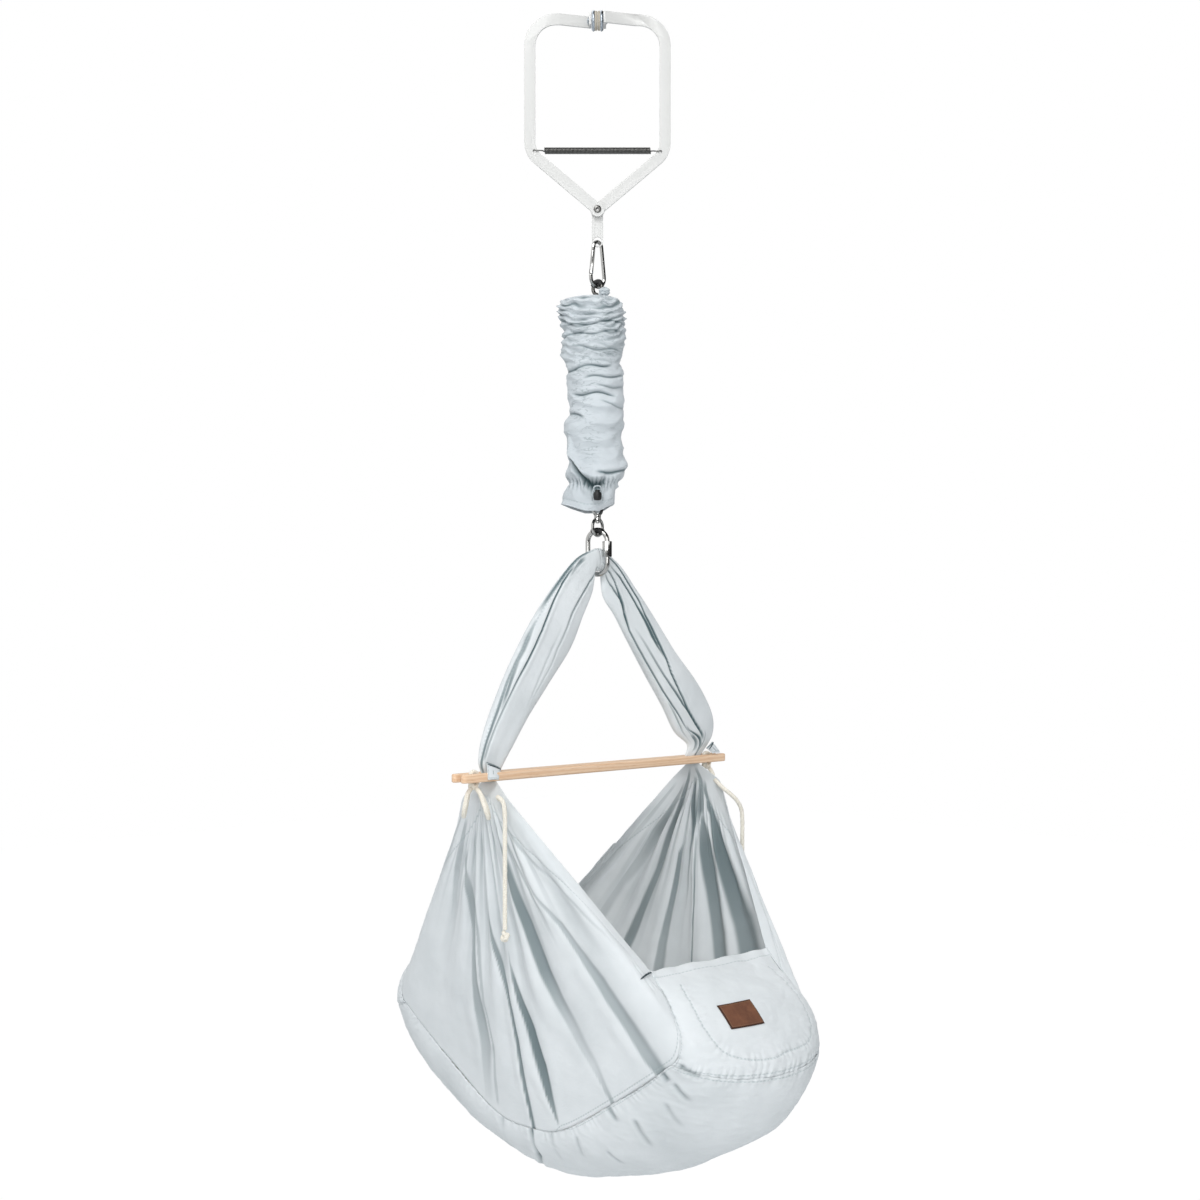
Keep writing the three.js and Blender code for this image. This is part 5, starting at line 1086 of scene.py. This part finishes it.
def sling_grid(side, columns, rows):
    stations, length = sling_rows(side, columns)
    u, theta = np.meshgrid(np.linspace(0, 1, columns), np.linspace(0, 2 * math.pi, rows), indexing="ij")
    upper, lower = stations[:, 0:2], stations[:, 2:4]
    middle, half = (upper + lower) / 2, (upper - lower) / 2
    reach = np.linalg.norm(half, axis=1)[:, None]
    # The band's edges are folds, so its section is a rounded strip and not an oval.
    flat = np.sign(np.cos(theta)) * np.abs(np.cos(theta)) ** 0.8
    thick = np.sign(np.sin(theta)) * np.abs(np.sin(theta)) ** 0.9
    share_at = -flat
    height, fold = np.zeros_like(u), np.zeros_like(u)
    front = np.sin(theta) < 0
    ends = smooth(u, 0.02, 0.10) * (1 - smooth(u, 0.96, 1.0))
    for rows_of_fold in sling_folds[side]:
        place, downs, wide, shade = np.array(rows_of_fold).T
        off = (share_at - np.interp(u, downs, place)) * reach
        span = np.interp(u, downs, wide) / 2
        dark = np.interp(u, downs, shade) * smooth(u, downs[0] - 0.03, downs[0])
        dark = dark * (1 - smooth(u, downs[-1], downs[-1] + 0.03))
        inside = 1 - smooth(np.abs(off) / span, 0.6, 1.8)
        # Painted shade along each fold line on the band's front; the fold is also tucked into the cloth
        # below.
        fold = np.maximum(fold, np.where(front, 1.15 * dark * inside, 0))
        ridges = 0.0016 * bell(off - 0.0042, 0.0040) + 0.0008 * bell(off + 0.0045, 0.0040)
        tuck = ridges - 0.0030 * bell(off, 1.2 * span)
        # The hidden side carries the same folds, mirrored.
        behind = -0.0024 * bell((share_at + 0.8 * np.interp(u, downs, place)) * reach, 0.004)
        height += dark * np.where(front, tuck, behind)
    seed = 2.0 if side == "left" else 6.0
    ripple = np.sin(share_at * 5 + 2.4 * np.sin(u * 3.1 + seed)) * 0.0006
    height = (height + ripple) * (0.25 + 0.75 * ends)
    sign = -1 if side == "left" else 1
    points = np.zeros(u.shape + (3,))
    points[..., 0] = sign * (middle[:, 0:1] + half[:, 0:1] * flat)
    points[..., 1] = stations[:, 4:] * thick + np.sign(np.sin(theta)) * height * np.abs(np.sin(theta)) ** 0.5
    points[..., 2] = middle[:, 1:2] + half[:, 1:2] * flat
    crush = crumple(points, 0.05, seed) * 0.0010 + crumple(points, 0.016, seed) * 0.0004
    points[..., 1] += crush * ends * np.abs(np.sin(theta))
    points[:, -1] = points[:, 0]
    # The sling's hem runs down the front, near its outer edge.
    hem = np.where(front, np.abs(share_at + 0.93), 9) * reach
    return points, np.stack([hem, u * length], axis=2), fold


def band(name, points, seam, fold, thick=0.0010):
    # A closed band: the last row of each ring meets the first.
    columns, rows = points.shape[0], points.shape[1] - 1
    corners = np.array(grid_faces(columns, rows + 1))
    faces = corners // (rows + 1) * rows + corners % (rows + 1) % rows
    steps = np.linalg.norm(np.diff(points, axis=1), axis=2)
    around = np.concatenate([np.zeros((columns, 1)), np.cumsum(steps, axis=1)], axis=1)
    along = run_along(points.mean(axis=1))[:, None] + 0 * around
    made = link_mesh(name, points[:, :-1].reshape(-1, 3), faces.tolist(), corners,
                     cloth=np.stack([along, around], axis=2).reshape(-1, 2), seam=seam.reshape(-1, 2))
    return walled(made, fold[:, :-1], thick, -1)


for side in ("left", "right"):
    turn = slice(None, None, -1 if side == "left" else 1)
    # The third grid is the sling's painted shade.
    grid, lines, folds = [rows[turn] for rows in sling_grid(side, 214, 221)]
    sling_cloth = band("sling_band_" + side, grid, lines, folds)
    stands_for(sling_cloth, "sling_" + side, "cradle")


def sling_tab(name, corners, hook_at):
    # The sling's hemmed end: two layers, with its edge of close stitches and a small worked eye.
    a, b, c, d = [np.array(p) for p in corners]
    u, v = np.meshgrid(np.linspace(0, 1, 40), np.linspace(0, 1, 60), indexing="ij")
    grid = (a + (b - a) * u[..., None]) * (1 - v[..., None]) + (d + (c - d) * u[..., None]) * v[..., None]
    wide, tall = np.linalg.norm(b - a), np.linalg.norm(d - a)
    out = np.cross(b - a, d - a)
    out = out / np.linalg.norm(out) * (1 if out[1] < 0 else -1)
    bulge = 0.0016 * np.sin(np.pi * u) * (0.4 + 0.6 * v) + 0.0006 * crumple(grid, 0.012, 3.3)
    grid = grid + out * bulge[..., None]
    side = np.minimum(u, 1 - u) * wide
    marks = np.stack([np.minimum(side, (1 - v) * tall) - 0.0022, v * tall], axis=2)
    eye_of = np.hypot((u - hook_at[0]) * wide, np.maximum(np.abs(v - hook_at[1]) * tall - 0.0030, 0))
    # Painted shade: a dark line along the tab's top edge and a dark slit at its eye.
    dark = bell(v * tall - 0.0010, 0.0009) + 0.9 * bell(eye_of, 0.0006)
    made = cloth_sheet(name, grid, marks, dark, 0.0016)
    rides_on_cradle(made)


sling_tab("sling_tab_left", [(-0.2440, -0.0085, -1.1705), (-0.2165, -0.0085, -1.1805),
                             (-0.2290, -0.0185, -1.1970), (-0.2500, -0.0185, -1.1962)], (0.42, 0.55))
sling_tab("sling_tab_right", [(0.2490, -0.0110, -1.1750), (0.2650, -0.0100, -1.1655),
                              (0.2830, -0.0120, -1.1842), (0.2590, -0.0170, -1.1846)], (0.55, 0.6))

# A short bar of dark thread closes the corner where the near hem of the left wall meets the seat, and one
# holds each sling's end.


def thread_bar(name, ends, sag, radius):
    first, last = [np.array(p) for p in ends]
    s = np.linspace(0, 1, 24)[:, None]
    line = first + (last - first) * s + np.array(sag) * np.sin(np.pi * s)
    made = tube(name, line, radius, 10, swell=lambda at, angle: (
        (0.35 + 0.65 * math.sin(math.pi * at) ** 0.4) * (1 + 0.12 * math.sin(at * 120))))
    made.data.materials.append(dark_thread)
    rides_on_cradle(made)


# Waxed thread: dull, dark blue-grey, with a faint relief of fibres.
dark_thread, tree, skin = material("dark_thread", Base_Color="#3B484C", Roughness=0.85)
twist = node(tree, "ShaderNodeTexNoise", (-500, -200), Scale=900, Detail=2)
lay = node(tree, "ShaderNodeBump", (-250, -200), Strength=0.6, Distance=0.0003, Height=twist)
fill(tree, skin, {"Normal": lay})
thread_bar("wall_bar_tack", [(-0.1640, -0.2520, -1.4735), (-0.1330, -0.2440, -1.4690)],
           (0, -0.0010, 0.0020), 0.0014)
thread_bar("sling_bar_tack_left", [(-0.2440, -0.0105, -1.1735), (-0.2170, -0.0105, -1.1830)],
           (0, -0.0012, 0.0004), 0.0011)
thread_bar("sling_bar_tack_right", [(0.2500, -0.0165, -1.1775), (0.2610, -0.0165, -1.1655)],
           (0, -0.0010, 0.0002), 0.0010)

# Spring cover: a long cotton sleeve over the bounce spring. Its top is gathered and knotted over the hook,
# its length is crumpled because the spring is not stretched, and a cord draws its lower end together.

# Height, then half widths to the viewer's left and right of the hanging axis, all in metres.
cover_rows = [
    (-0.4400, 0.010, 0.014), (-0.4430, 0.038, 0.026), (-0.4480, 0.057, 0.036), (-0.4560, 0.063, 0.041),
    (-0.4640, 0.064, 0.042), (-0.4740, 0.061, 0.042), (-0.4860, 0.058, 0.042), (-0.4940, 0.055, 0.043),
    (-0.5140, 0.055, 0.044), (-0.5240, 0.056, 0.044), (-0.5350, 0.056, 0.040), (-0.5500, 0.051, 0.037),
    (-0.5600, 0.049, 0.038), (-0.5710, 0.051, 0.042), (-0.5810, 0.051, 0.042), (-0.5940, 0.048, 0.041),
    (-0.6080, 0.046, 0.043), (-0.6330, 0.044, 0.044), (-0.6430, 0.052, 0.044), (-0.6580, 0.052, 0.039),
    (-0.6740, 0.049, 0.039), (-0.6940, 0.044, 0.044), (-0.7140, 0.047, 0.045), (-0.7260, 0.052, 0.043),
    (-0.7400, 0.049, 0.037), (-0.7540, 0.055, 0.031), (-0.7700, 0.060, 0.024),
]


# Folds across the sleeve: height at the viewer's left and right, depth, width, and its ends as shares of the
# sleeve's half width.
cover_folds = [
    (-0.5615, -0.5520, 0.0036, 0.0022, -1.0, 0.6), (-0.5250, -0.5330, 0.0026, 0.0020, -0.6, 0.9),
    (-0.5790, -0.5700, 0.0034, 0.0020, -0.3, 1.0), (-0.5990, -0.6020, 0.0038, 0.0021, -0.8, 0.6),
    (-0.5930, -0.5870, 0.0024, 0.0018, 0.1, 1.0), (-0.6060, -0.6200, 0.0022, 0.0018, 0.2, 1.0),
    (-0.5080, -0.5010, 0.0030, 0.0018, -1.0, 0.8), (-0.4930, -0.4850, 0.0030, 0.0017, -0.9, 1.0),
    (-0.6320, -0.6480, 0.0030, 0.0026, -1.1, -0.5), (-0.7290, -0.7210, 0.0042, 0.0030, 0.1, 1.1),
]


def cover_sleeve(columns=300, around=156):
    rows = np.array(cover_rows)
    run = run_along(rows[:, :2])
    even = np.linspace(0, run[-1], columns)
    z, left, right = [np.interp(even, run, rows[:, k]) for k in range(3)]
    for _ in range(6):
        left[1:-1] = (left[:-2] + 2 * left[1:-1] + left[2:]) / 4
        right[1:-1] = (right[:-2] + 2 * right[1:-1] + right[2:]) / 4
    s, t = np.meshgrid(np.linspace(0, 1, columns), np.linspace(0, 2 * math.pi, around + 1), indexing="ij")
    z, left, right = z[:, None], left[:, None], right[:, None]
    width, shift = (left + right) / 2, (right - left) / 2
    drop = z[0] - z + 0 * t
    x = np.cos(t) * width + shift
    y = np.sin(t) * np.minimum(width * 0.94, 0.0455)
    height, fold = np.zeros_like(s), np.zeros_like(s)
    round_at = np.stack([np.cos(t) * 0.05, np.sin(t) * 0.05, z + 0 * t], axis=2)
    noise_at = round_at * np.array([1, 1, 2.2])
    # Tight, nearly level wrinkles where the sleeve is gathered, wider ones below it.
    tight = np.exp(-(drop / 0.085) ** 2)
    wander = 0.014 * crumple(round_at, 0.045, 3.0) + 0.004 * crumple(round_at, 0.017, 8.0)
    level = drop + 0.006 * np.sin(t + 0.6) + 0.004 * np.sin(2 * t + 1.1) + wander
    crest = lambda at: 1 - 2 * np.abs((at % 1) - 0.5) ** 0.7 * 1.6
    lines = crest(level / 0.0115 + 0.3 * np.sin(3 * t))
    uneven = 0.45 + 0.75 * smooth(crumple(round_at, 0.028, 5.2), -0.4, 0.4)
    height += 0.0042 * tight * lines * uneven * smooth(drop, 0.002, 0.012)
    # Painted shade in the valleys of the gathered wrinkles.
    fold += 0.75 * tight * smooth(-lines, 0.15, 0.6) * smooth(crumple(noise_at, 0.03, 4.4), -0.25, 0.2)
    height += 0.0016 * tight * crest(level / 0.0056 + 0.35 * np.sin(2 * t + 0.4)) * (1.4 - uneven)
    height += 0.0014 * (1 - tight) * crest(level / 0.030 + 0.2 * np.sin(2 * t + 1))
    height += 0.0042 * crumple(noise_at, 0.055, 7.7) * smooth(drop, 0.01, 0.06)
    height += 0.0016 * crumple(noise_at, 0.020, 1.9)
    toward_viewer = -np.sin(t)
    across = np.cos(t)
    for z_left, z_right, depth, thick, from_x, to_x in cover_folds:
        line = z_left + (z_right - z_left) * (across + 1) / 2 + 0.0025 * np.sin(5 * across + 40 * z_left)
        shown = smooth(across, from_x - 0.15, from_x + 0.15) * (1 - smooth(across, to_x - 0.15, to_x + 0.15))
        shown = shown * smooth(toward_viewer, -0.3, 0.25)
        height += depth * shown * (0.6 * bell(z - line - 2.4 * thick, 2.6 * thick) - bell(z - line, thick))
        # Painted shade along each fold's valley.
        fold += shown * min(depth / 0.004, 1) * bell(z - line, thick * 0.7)
    # The long fold that curves in from the left edge and rolls open above the draw cord.
    front = smooth(toward_viewer, -0.2, 0.3)
    curve_z = np.interp(x, (-0.046, -0.040, -0.032, -0.022, -0.008, 0.004, 0.016),
                        (-0.675, -0.700, -0.7150, -0.7300, -0.7390, -0.7385, -0.7300))
    off = z - curve_z
    shown = smooth(x, -0.050, -0.040) * (1 - smooth(x, 0.004, 0.016)) * front
    height += shown * (0.0085 * bell(off - 0.0065, 0.0075) - 0.0115 * bell(off + 0.0030, 0.0042)
                       + 0.0040 * bell(off + 0.0150, 0.0060))
    # Painted shade in the long fold's valley.
    fold += shown * (bell(off + 0.0030, 0.0034) + 0.5 * bell(off + 0.008, 0.004))
    # Short gathers above the hem, drawn in by the cord.
    gathered = bell(z + 0.7395, 0.0060)
    pleat = np.sin(x * 2 * math.pi / 0.0065)
    height += -0.0032 * gathered * front + 0.0024 * gathered * pleat * front
    height -= 0.0016 * gathered * (1 - front)
    # Painted shade between the gathers.
    fold += 0.7 * gathered * smooth(-pleat, 0.2, 0.9) * front
    height *= smooth(drop, 0.0, 0.006)
    hem_low = np.interp(x, (-0.060, -0.020, 0.002, 0.023, 0.028), (0.0030, 0.0156, 0.0156, 0.0045, -0.0100))
    face = np.stack([*to_view(x + np.cos(t) * height, y + np.sin(t) * height),
                     z - hem_low * smooth(drop, 0.292, 0.328)], axis=2)
    face[:, -1] = face[:, 0]
    hem = np.abs(z - z[-1] - 0.009) + 0 * t
    return face, np.stack([hem, t * width], axis=2), fold


# The cover's cotton is the seat's cotton painted a shade darker, as painted shade, with thin noise lines of
# painted shade for fine creases across it, where the sleeve is pushed together.
shaded_cover_cotton = recoloured("shaded_cover_cotton", "#BEC5C9", "#CDD3D7")
tree = shaded_cover_cotton.node_tree
where = node(tree, "ShaderNodeTexCoord", (-2400, 900)).outputs["Object"]
pressed = node(tree, "ShaderNodeMapping", (-2200, 900), where, Scale=(1, 1, 3.6))
wrinkles = node(tree, "ShaderNodeTexNoise", (-2000, 900), pressed, Scale=30, Detail=4, Roughness=0.55,
                Distortion=0.8)
# Painted shade: thin lines from a noise stand for crease shadows, with no relief under them.
painted_crease_line = node(tree, "ShaderNodeValToRGB", (-1800, 900), wrinkles,
             stops=((0, 0.0), (0.465, 0.0), (0.50, 1.0), (0.520, 0.0), (1, 0.0)))
patches = node(tree, "ShaderNodeTexNoise", (-2000, 600), where, Scale=16, Detail=1)
here = node(tree, "ShaderNodeMapRange", (-1800, 600), patches, From_Min=0.42, From_Max=0.62)
shown = node(tree, "ShaderNodeMath", (-1500, 800), painted_crease_line, here, operation="MULTIPLY")
soften = node(tree, "ShaderNodeMath", (-1350, 800), shown, 0.5, operation="MULTIPLY")
painted_shade_socket = tree.nodes["Attribute"].outputs["Fac"]
deep = painted_shade_socket.links[0].to_socket
more = node(tree, "ShaderNodeMath", (-1000, 700), painted_shade_socket, soften, operation="MAXIMUM")
tree.links.new(more.outputs[0], deep)
sleeve = band("cover_sleeve", *cover_sleeve(), 0.0012)
sleeve.data.materials.clear()
sleeve.data.materials.append(shaded_cover_cotton)
stands_for(sleeve, "spring_cover")
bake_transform(sleeve)


def cloth_knot():
    # The sleeve's top edge is drawn round the hook and tied off in a small crushed knot.
    right, away, z, size = 0.0105, -0.0150, -0.4355, 0.0080
    u, v = np.meshgrid(np.linspace(0, math.pi, 60), np.linspace(0, 2 * math.pi, 90), indexing="ij")
    ball = np.stack([np.sin(u) * np.cos(v), np.sin(u) * np.sin(v), np.cos(u)], axis=2)
    rough = 1 + 0.16 * crumple(ball, 0.55, 2.0) + 0.07 * np.sin(7 * v + 3 * np.cos(u) * 2)
    rough = rough * (1 - 0.12 * bell(np.cos(u) - 0.2 * np.sin(v), 0.18))
    ball = ball * rough[..., None] * size * np.array([1.12, 1.0, 0.86])
    turned = np.stack([*to_view(ball[..., 0], ball[..., 1]), ball[..., 2]], axis=2)
    turned = turned + np.array([*to_view(right, away), z])
    count, rings = 89, 58
    points = [turned[0, 0], *turned[1:59, :count].reshape(-1, 3), turned[-1, 0]]
    faces = [(0, 1 + j, 1 + (j + 1) % count) for j in range(count)]
    for k in range(1, 1 + (rings - 1) * count, count):
        faces += [(k + j, k + count + j, k + count + (j + 1) % count, k + (j + 1) % count)
                  for j in range(count)]
    last = 1 + (rings - 1) * count
    faces += [(len(points) - 1, last + (j + 1) % count, last + j) for j in range(count)]
    made = link_mesh("cover_knot", points, faces, cloth=[(p[0], p[2]) for p in points],
                     seam=np.full((len(points), 2), 0.5))
    made.data.materials.append(shaded_cover_cotton)
    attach(made, "spring")


cloth_knot()

# Metal, paint and plastic
# Polished stainless rod mirrors the room, with a trace of handling haze. Zinc plate is greyer, a little blue
# and blurred. Drawn spring wire is dark and slightly rough. White stove enamel has a soft gloss. Black nylon
# and grey rubber are matt. Each one's roughness wanders over a few millimetres.


def surface(name, code, roughness, metal=0.0, mottle=0.06, coat=0.0, grain=600):
    made, tree, skin = material(name, Base_Color=code, Metallic=metal, Coat_Weight=coat)
    where = node(tree, "ShaderNodeTexCoord", (-900, 0)).outputs["Object"]
    worn = node(tree, "ShaderNodeTexNoise", (-700, 0), where, Scale=grain, Detail=3, Roughness=0.6)
    level = node(tree, "ShaderNodeMapRange", (-450, 0), worn, To_Min=max(roughness - mottle, 0.02),
                 To_Max=roughness + mottle)
    bump = node(tree, "ShaderNodeBump", (-250, -200), Strength=0.15, Distance=0.00012, Height=worn)
    fill(tree, skin, {"Roughness": level, "Normal": bump})
    return made


steel = surface("polished_steel", "#B4B4B2", 0.10, 1.0, mottle=0.04)
zinc = surface("zinc_plate", "#B4BDC6", 0.26, 1.0, grain=300)
drawn_steel = surface("spring_steel", "#6E6E6C", 0.22, 1.0)
enamel = surface("white_enamel", "#C9C9C7", 0.40, 0.0, coat=0.15, grain=180)
nylon = surface("black_nylon", "#0E0F11", 0.5)
rubber = surface("grey_rubber", "#A9A294", 0.75)

# Main spring: 6 mm wire wound close, with a hook turned at each end. The cover hides it.

hook_high, hook_low, hook_round, hook_turn = -0.4275, -0.7675, 0.010, math.radians(285)


def end_hook(height, start, turn):
    # The hook's wire, as places across and up.
    at = start + turn * np.linspace(0, 1, 60)
    return np.stack([0 * at, hook_round * np.cos(at), height + hook_round * np.sin(at)], axis=1)


def spaced(line):
    # The line without points that fall on top of each other.
    return line[np.concatenate([[True], np.linalg.norm(np.diff(line, axis=0), axis=1) > 2e-4])]


def bounce_spring():
    curls, pitch, coil_round, run = 35, 0.00645, 0.019, 0.024
    top = (hook_high + hook_low + curls * pitch) / 2
    low = top - curls * pitch
    angle = np.linspace(0, 2 * math.pi * curls, curls * 28)
    coil = np.stack([coil_round * np.cos(angle), coil_round * np.sin(angle),
                     top - pitch * angle / (2 * math.pi)], axis=1)
    upper = end_hook(hook_high, -math.pi / 2, hook_turn)[::-1]
    lower = end_hook(hook_low, math.pi / 2, -hook_turn)

    def ease(z, up):
        r = coil_round
        return [(0, 0, z + up * run), (r * 0.12, -up * r * 0.1, z + up * run * 0.75),
                (r * 0.5, -up * r * 0.35, z + up * run * 0.4), (r * 0.85, -up * r * 0.4, z + up * run * 0.15)]

    first = smooth_line([upper[-4], upper[-1], *ease(top, 1), coil[0], coil[5]], 120)[8:-6]
    last = smooth_line([coil[-6], coil[-1], *ease(low, -1)[::-1], lower[0], lower[3]], 120)[6:-8]
    line = spaced(np.concatenate([upper[:-2], first, coil[1:-1], last, lower[2:]]))
    return tube("bounce_spring", line, 0.0030, 12)


spring_wire = bounce_spring()
spring_wire.data.materials.append(drawn_steel)
stands_for(spring_wire, "main_spring")
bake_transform(spring_wire)

# Hook tube: black plastic slid over the spring's top hook, so that it doesn't grate on the snap hook.
finer("hook_tube", 0.0005, nylon, "spring")

# Draw cord of the cover, with its sprung cord stop: a moulded barrel and the plunger that grips the cord.
finer("cord_stop_body", 0.0006, nylon, "swivel")
finer("cord_stop_plunger", 0.0005, nylon, "plunger")
stop_z, stop_away, hold, behind = -0.7632, -0.0543, 0.0081, -0.0478
loop_half = [(hold, behind, -0.0065), (hold, stop_away, 0), (hold * 0.9, stop_away, 0.0065),
             (hold / 2, stop_away, 0.0150)]
loop_route = [(-right, away, z) for right, away, z in loop_half] + loop_half[::-1]
loop_path = smooth_line([(*to_view(right, away), stop_z + z) for right, away, z in loop_route], 90)
draw_thick = 0.0026
draw_length = length_of(loop_path)
draw_cord = tube("cover_draw_cord", loop_path, draw_thick / 2, 14, swell=braid(draw_length, draw_thick))
draw_cord.data.materials.append(surface("grey_cord", "#AAB2B6", 0.8))
stands_for(draw_cord, "cover_cord", "swivel")

# Swivel: an upper eye with its collar, a headed pin through it, and the oval eye that turns on the pin.
finer("swivel_upper", 0.0006, steel, "swivel")
finer("swivel_pin", 0.0004, steel, "swivel")
finer("swivel_lower", 0.0006, steel, "swivel_eye")

# Quick link: stainless rod bent to an oval, with a long hexagonal nut on its thread and a dark tube on its
# top bend, where the swivel hangs.
finer("quick_link", 0.0009, steel, "quick_link")
finer("quick_link_nut", 0.0004, steel, "nut")
finer("quick_link_tube", 0.0005, nylon, "quick_link")

# Snap hook: a pear-shaped hook of polished rod, with a latch at its nose and a gate that turns on a pin.
finer("carabiner_body", 0.0007, steel, "carabiner")
finer("carabiner_gate", 0.0003, steel, "gate", segments=2)
finer("carabiner_gate_pin", 0.0002, zinc, "carabiner", segments=2)

# Door clamp: two arms bent from painted flat bar, which cross at a hollow rivet, with the link plate between.
finer("clamp_arm_left", 0.0007, enamel, "clamp", merge=False)
finer("clamp_arm_right", 0.0007, enamel, "right_arm", merge=False)
finer("clamp_link", 0.0005, enamel, "link", merge=False)
finer("clamp_rivet", 0.0004, drawn_steel, "clamp")

# Clamp pads: zinc-plated cups riveted to the arms, with grey rubber faces that meet.
for side, body in (("left", "clamp"), ("right", "right_arm")):
    finer("pad_cup_" + side, 0.0006, zinc, body)
    finer("pad_face_" + side, 0.0006, rubber, body)

# Clamp spring: a close-wound tension spring of 2 mm wire, hooked through a hole in each arm's lower corner.


def clamp_coil():
    curls, coil_round, axis_away = 80, 0.0045, -0.0092
    left_away, right_away, low, wide, half = -0.0112, -0.0069, -0.2100, 0.1020, 0.0845
    angle = np.linspace(0, 2 * math.pi * curls, curls * 20)
    coil = np.stack([np.linspace(-half, half, len(angle)), axis_away + coil_round * np.cos(angle),
                     low + coil_round * np.sin(angle)], axis=1)

    def hook(side, away):
        # Wire from the hole in an arm, turned over its edge, in to the coil.
        return [(side * wide, away + 0.0073, low), (side * wide, away + 0.0010, low),
                (side * (wide - 0.0012), away - 0.0001, low), (side * (half + 0.0080), away, low),
                (side * (half + 0.0035), (away + axis_away) / 2, low)]

    begin = smooth_line([*hook(-1, left_away), coil[0], coil[4]], 90)[:-4]
    end = smooth_line([coil[-5], coil[-1], *hook(1, right_away)[::-1]], 90)[4:]
    line = spaced(np.concatenate([begin, coil[1:-1], end]))
    turned = np.stack([*to_view(line[:, 0], line[:, 1]), line[:, 2]], axis=1)
    return tube("clamp_tension_spring", turned, 0.00102, 10)


grip_spring = clamp_coil()
grip_spring.data.materials.append(drawn_steel)
stands_for(grip_spring, "clamp_spring")
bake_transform(grip_spring)
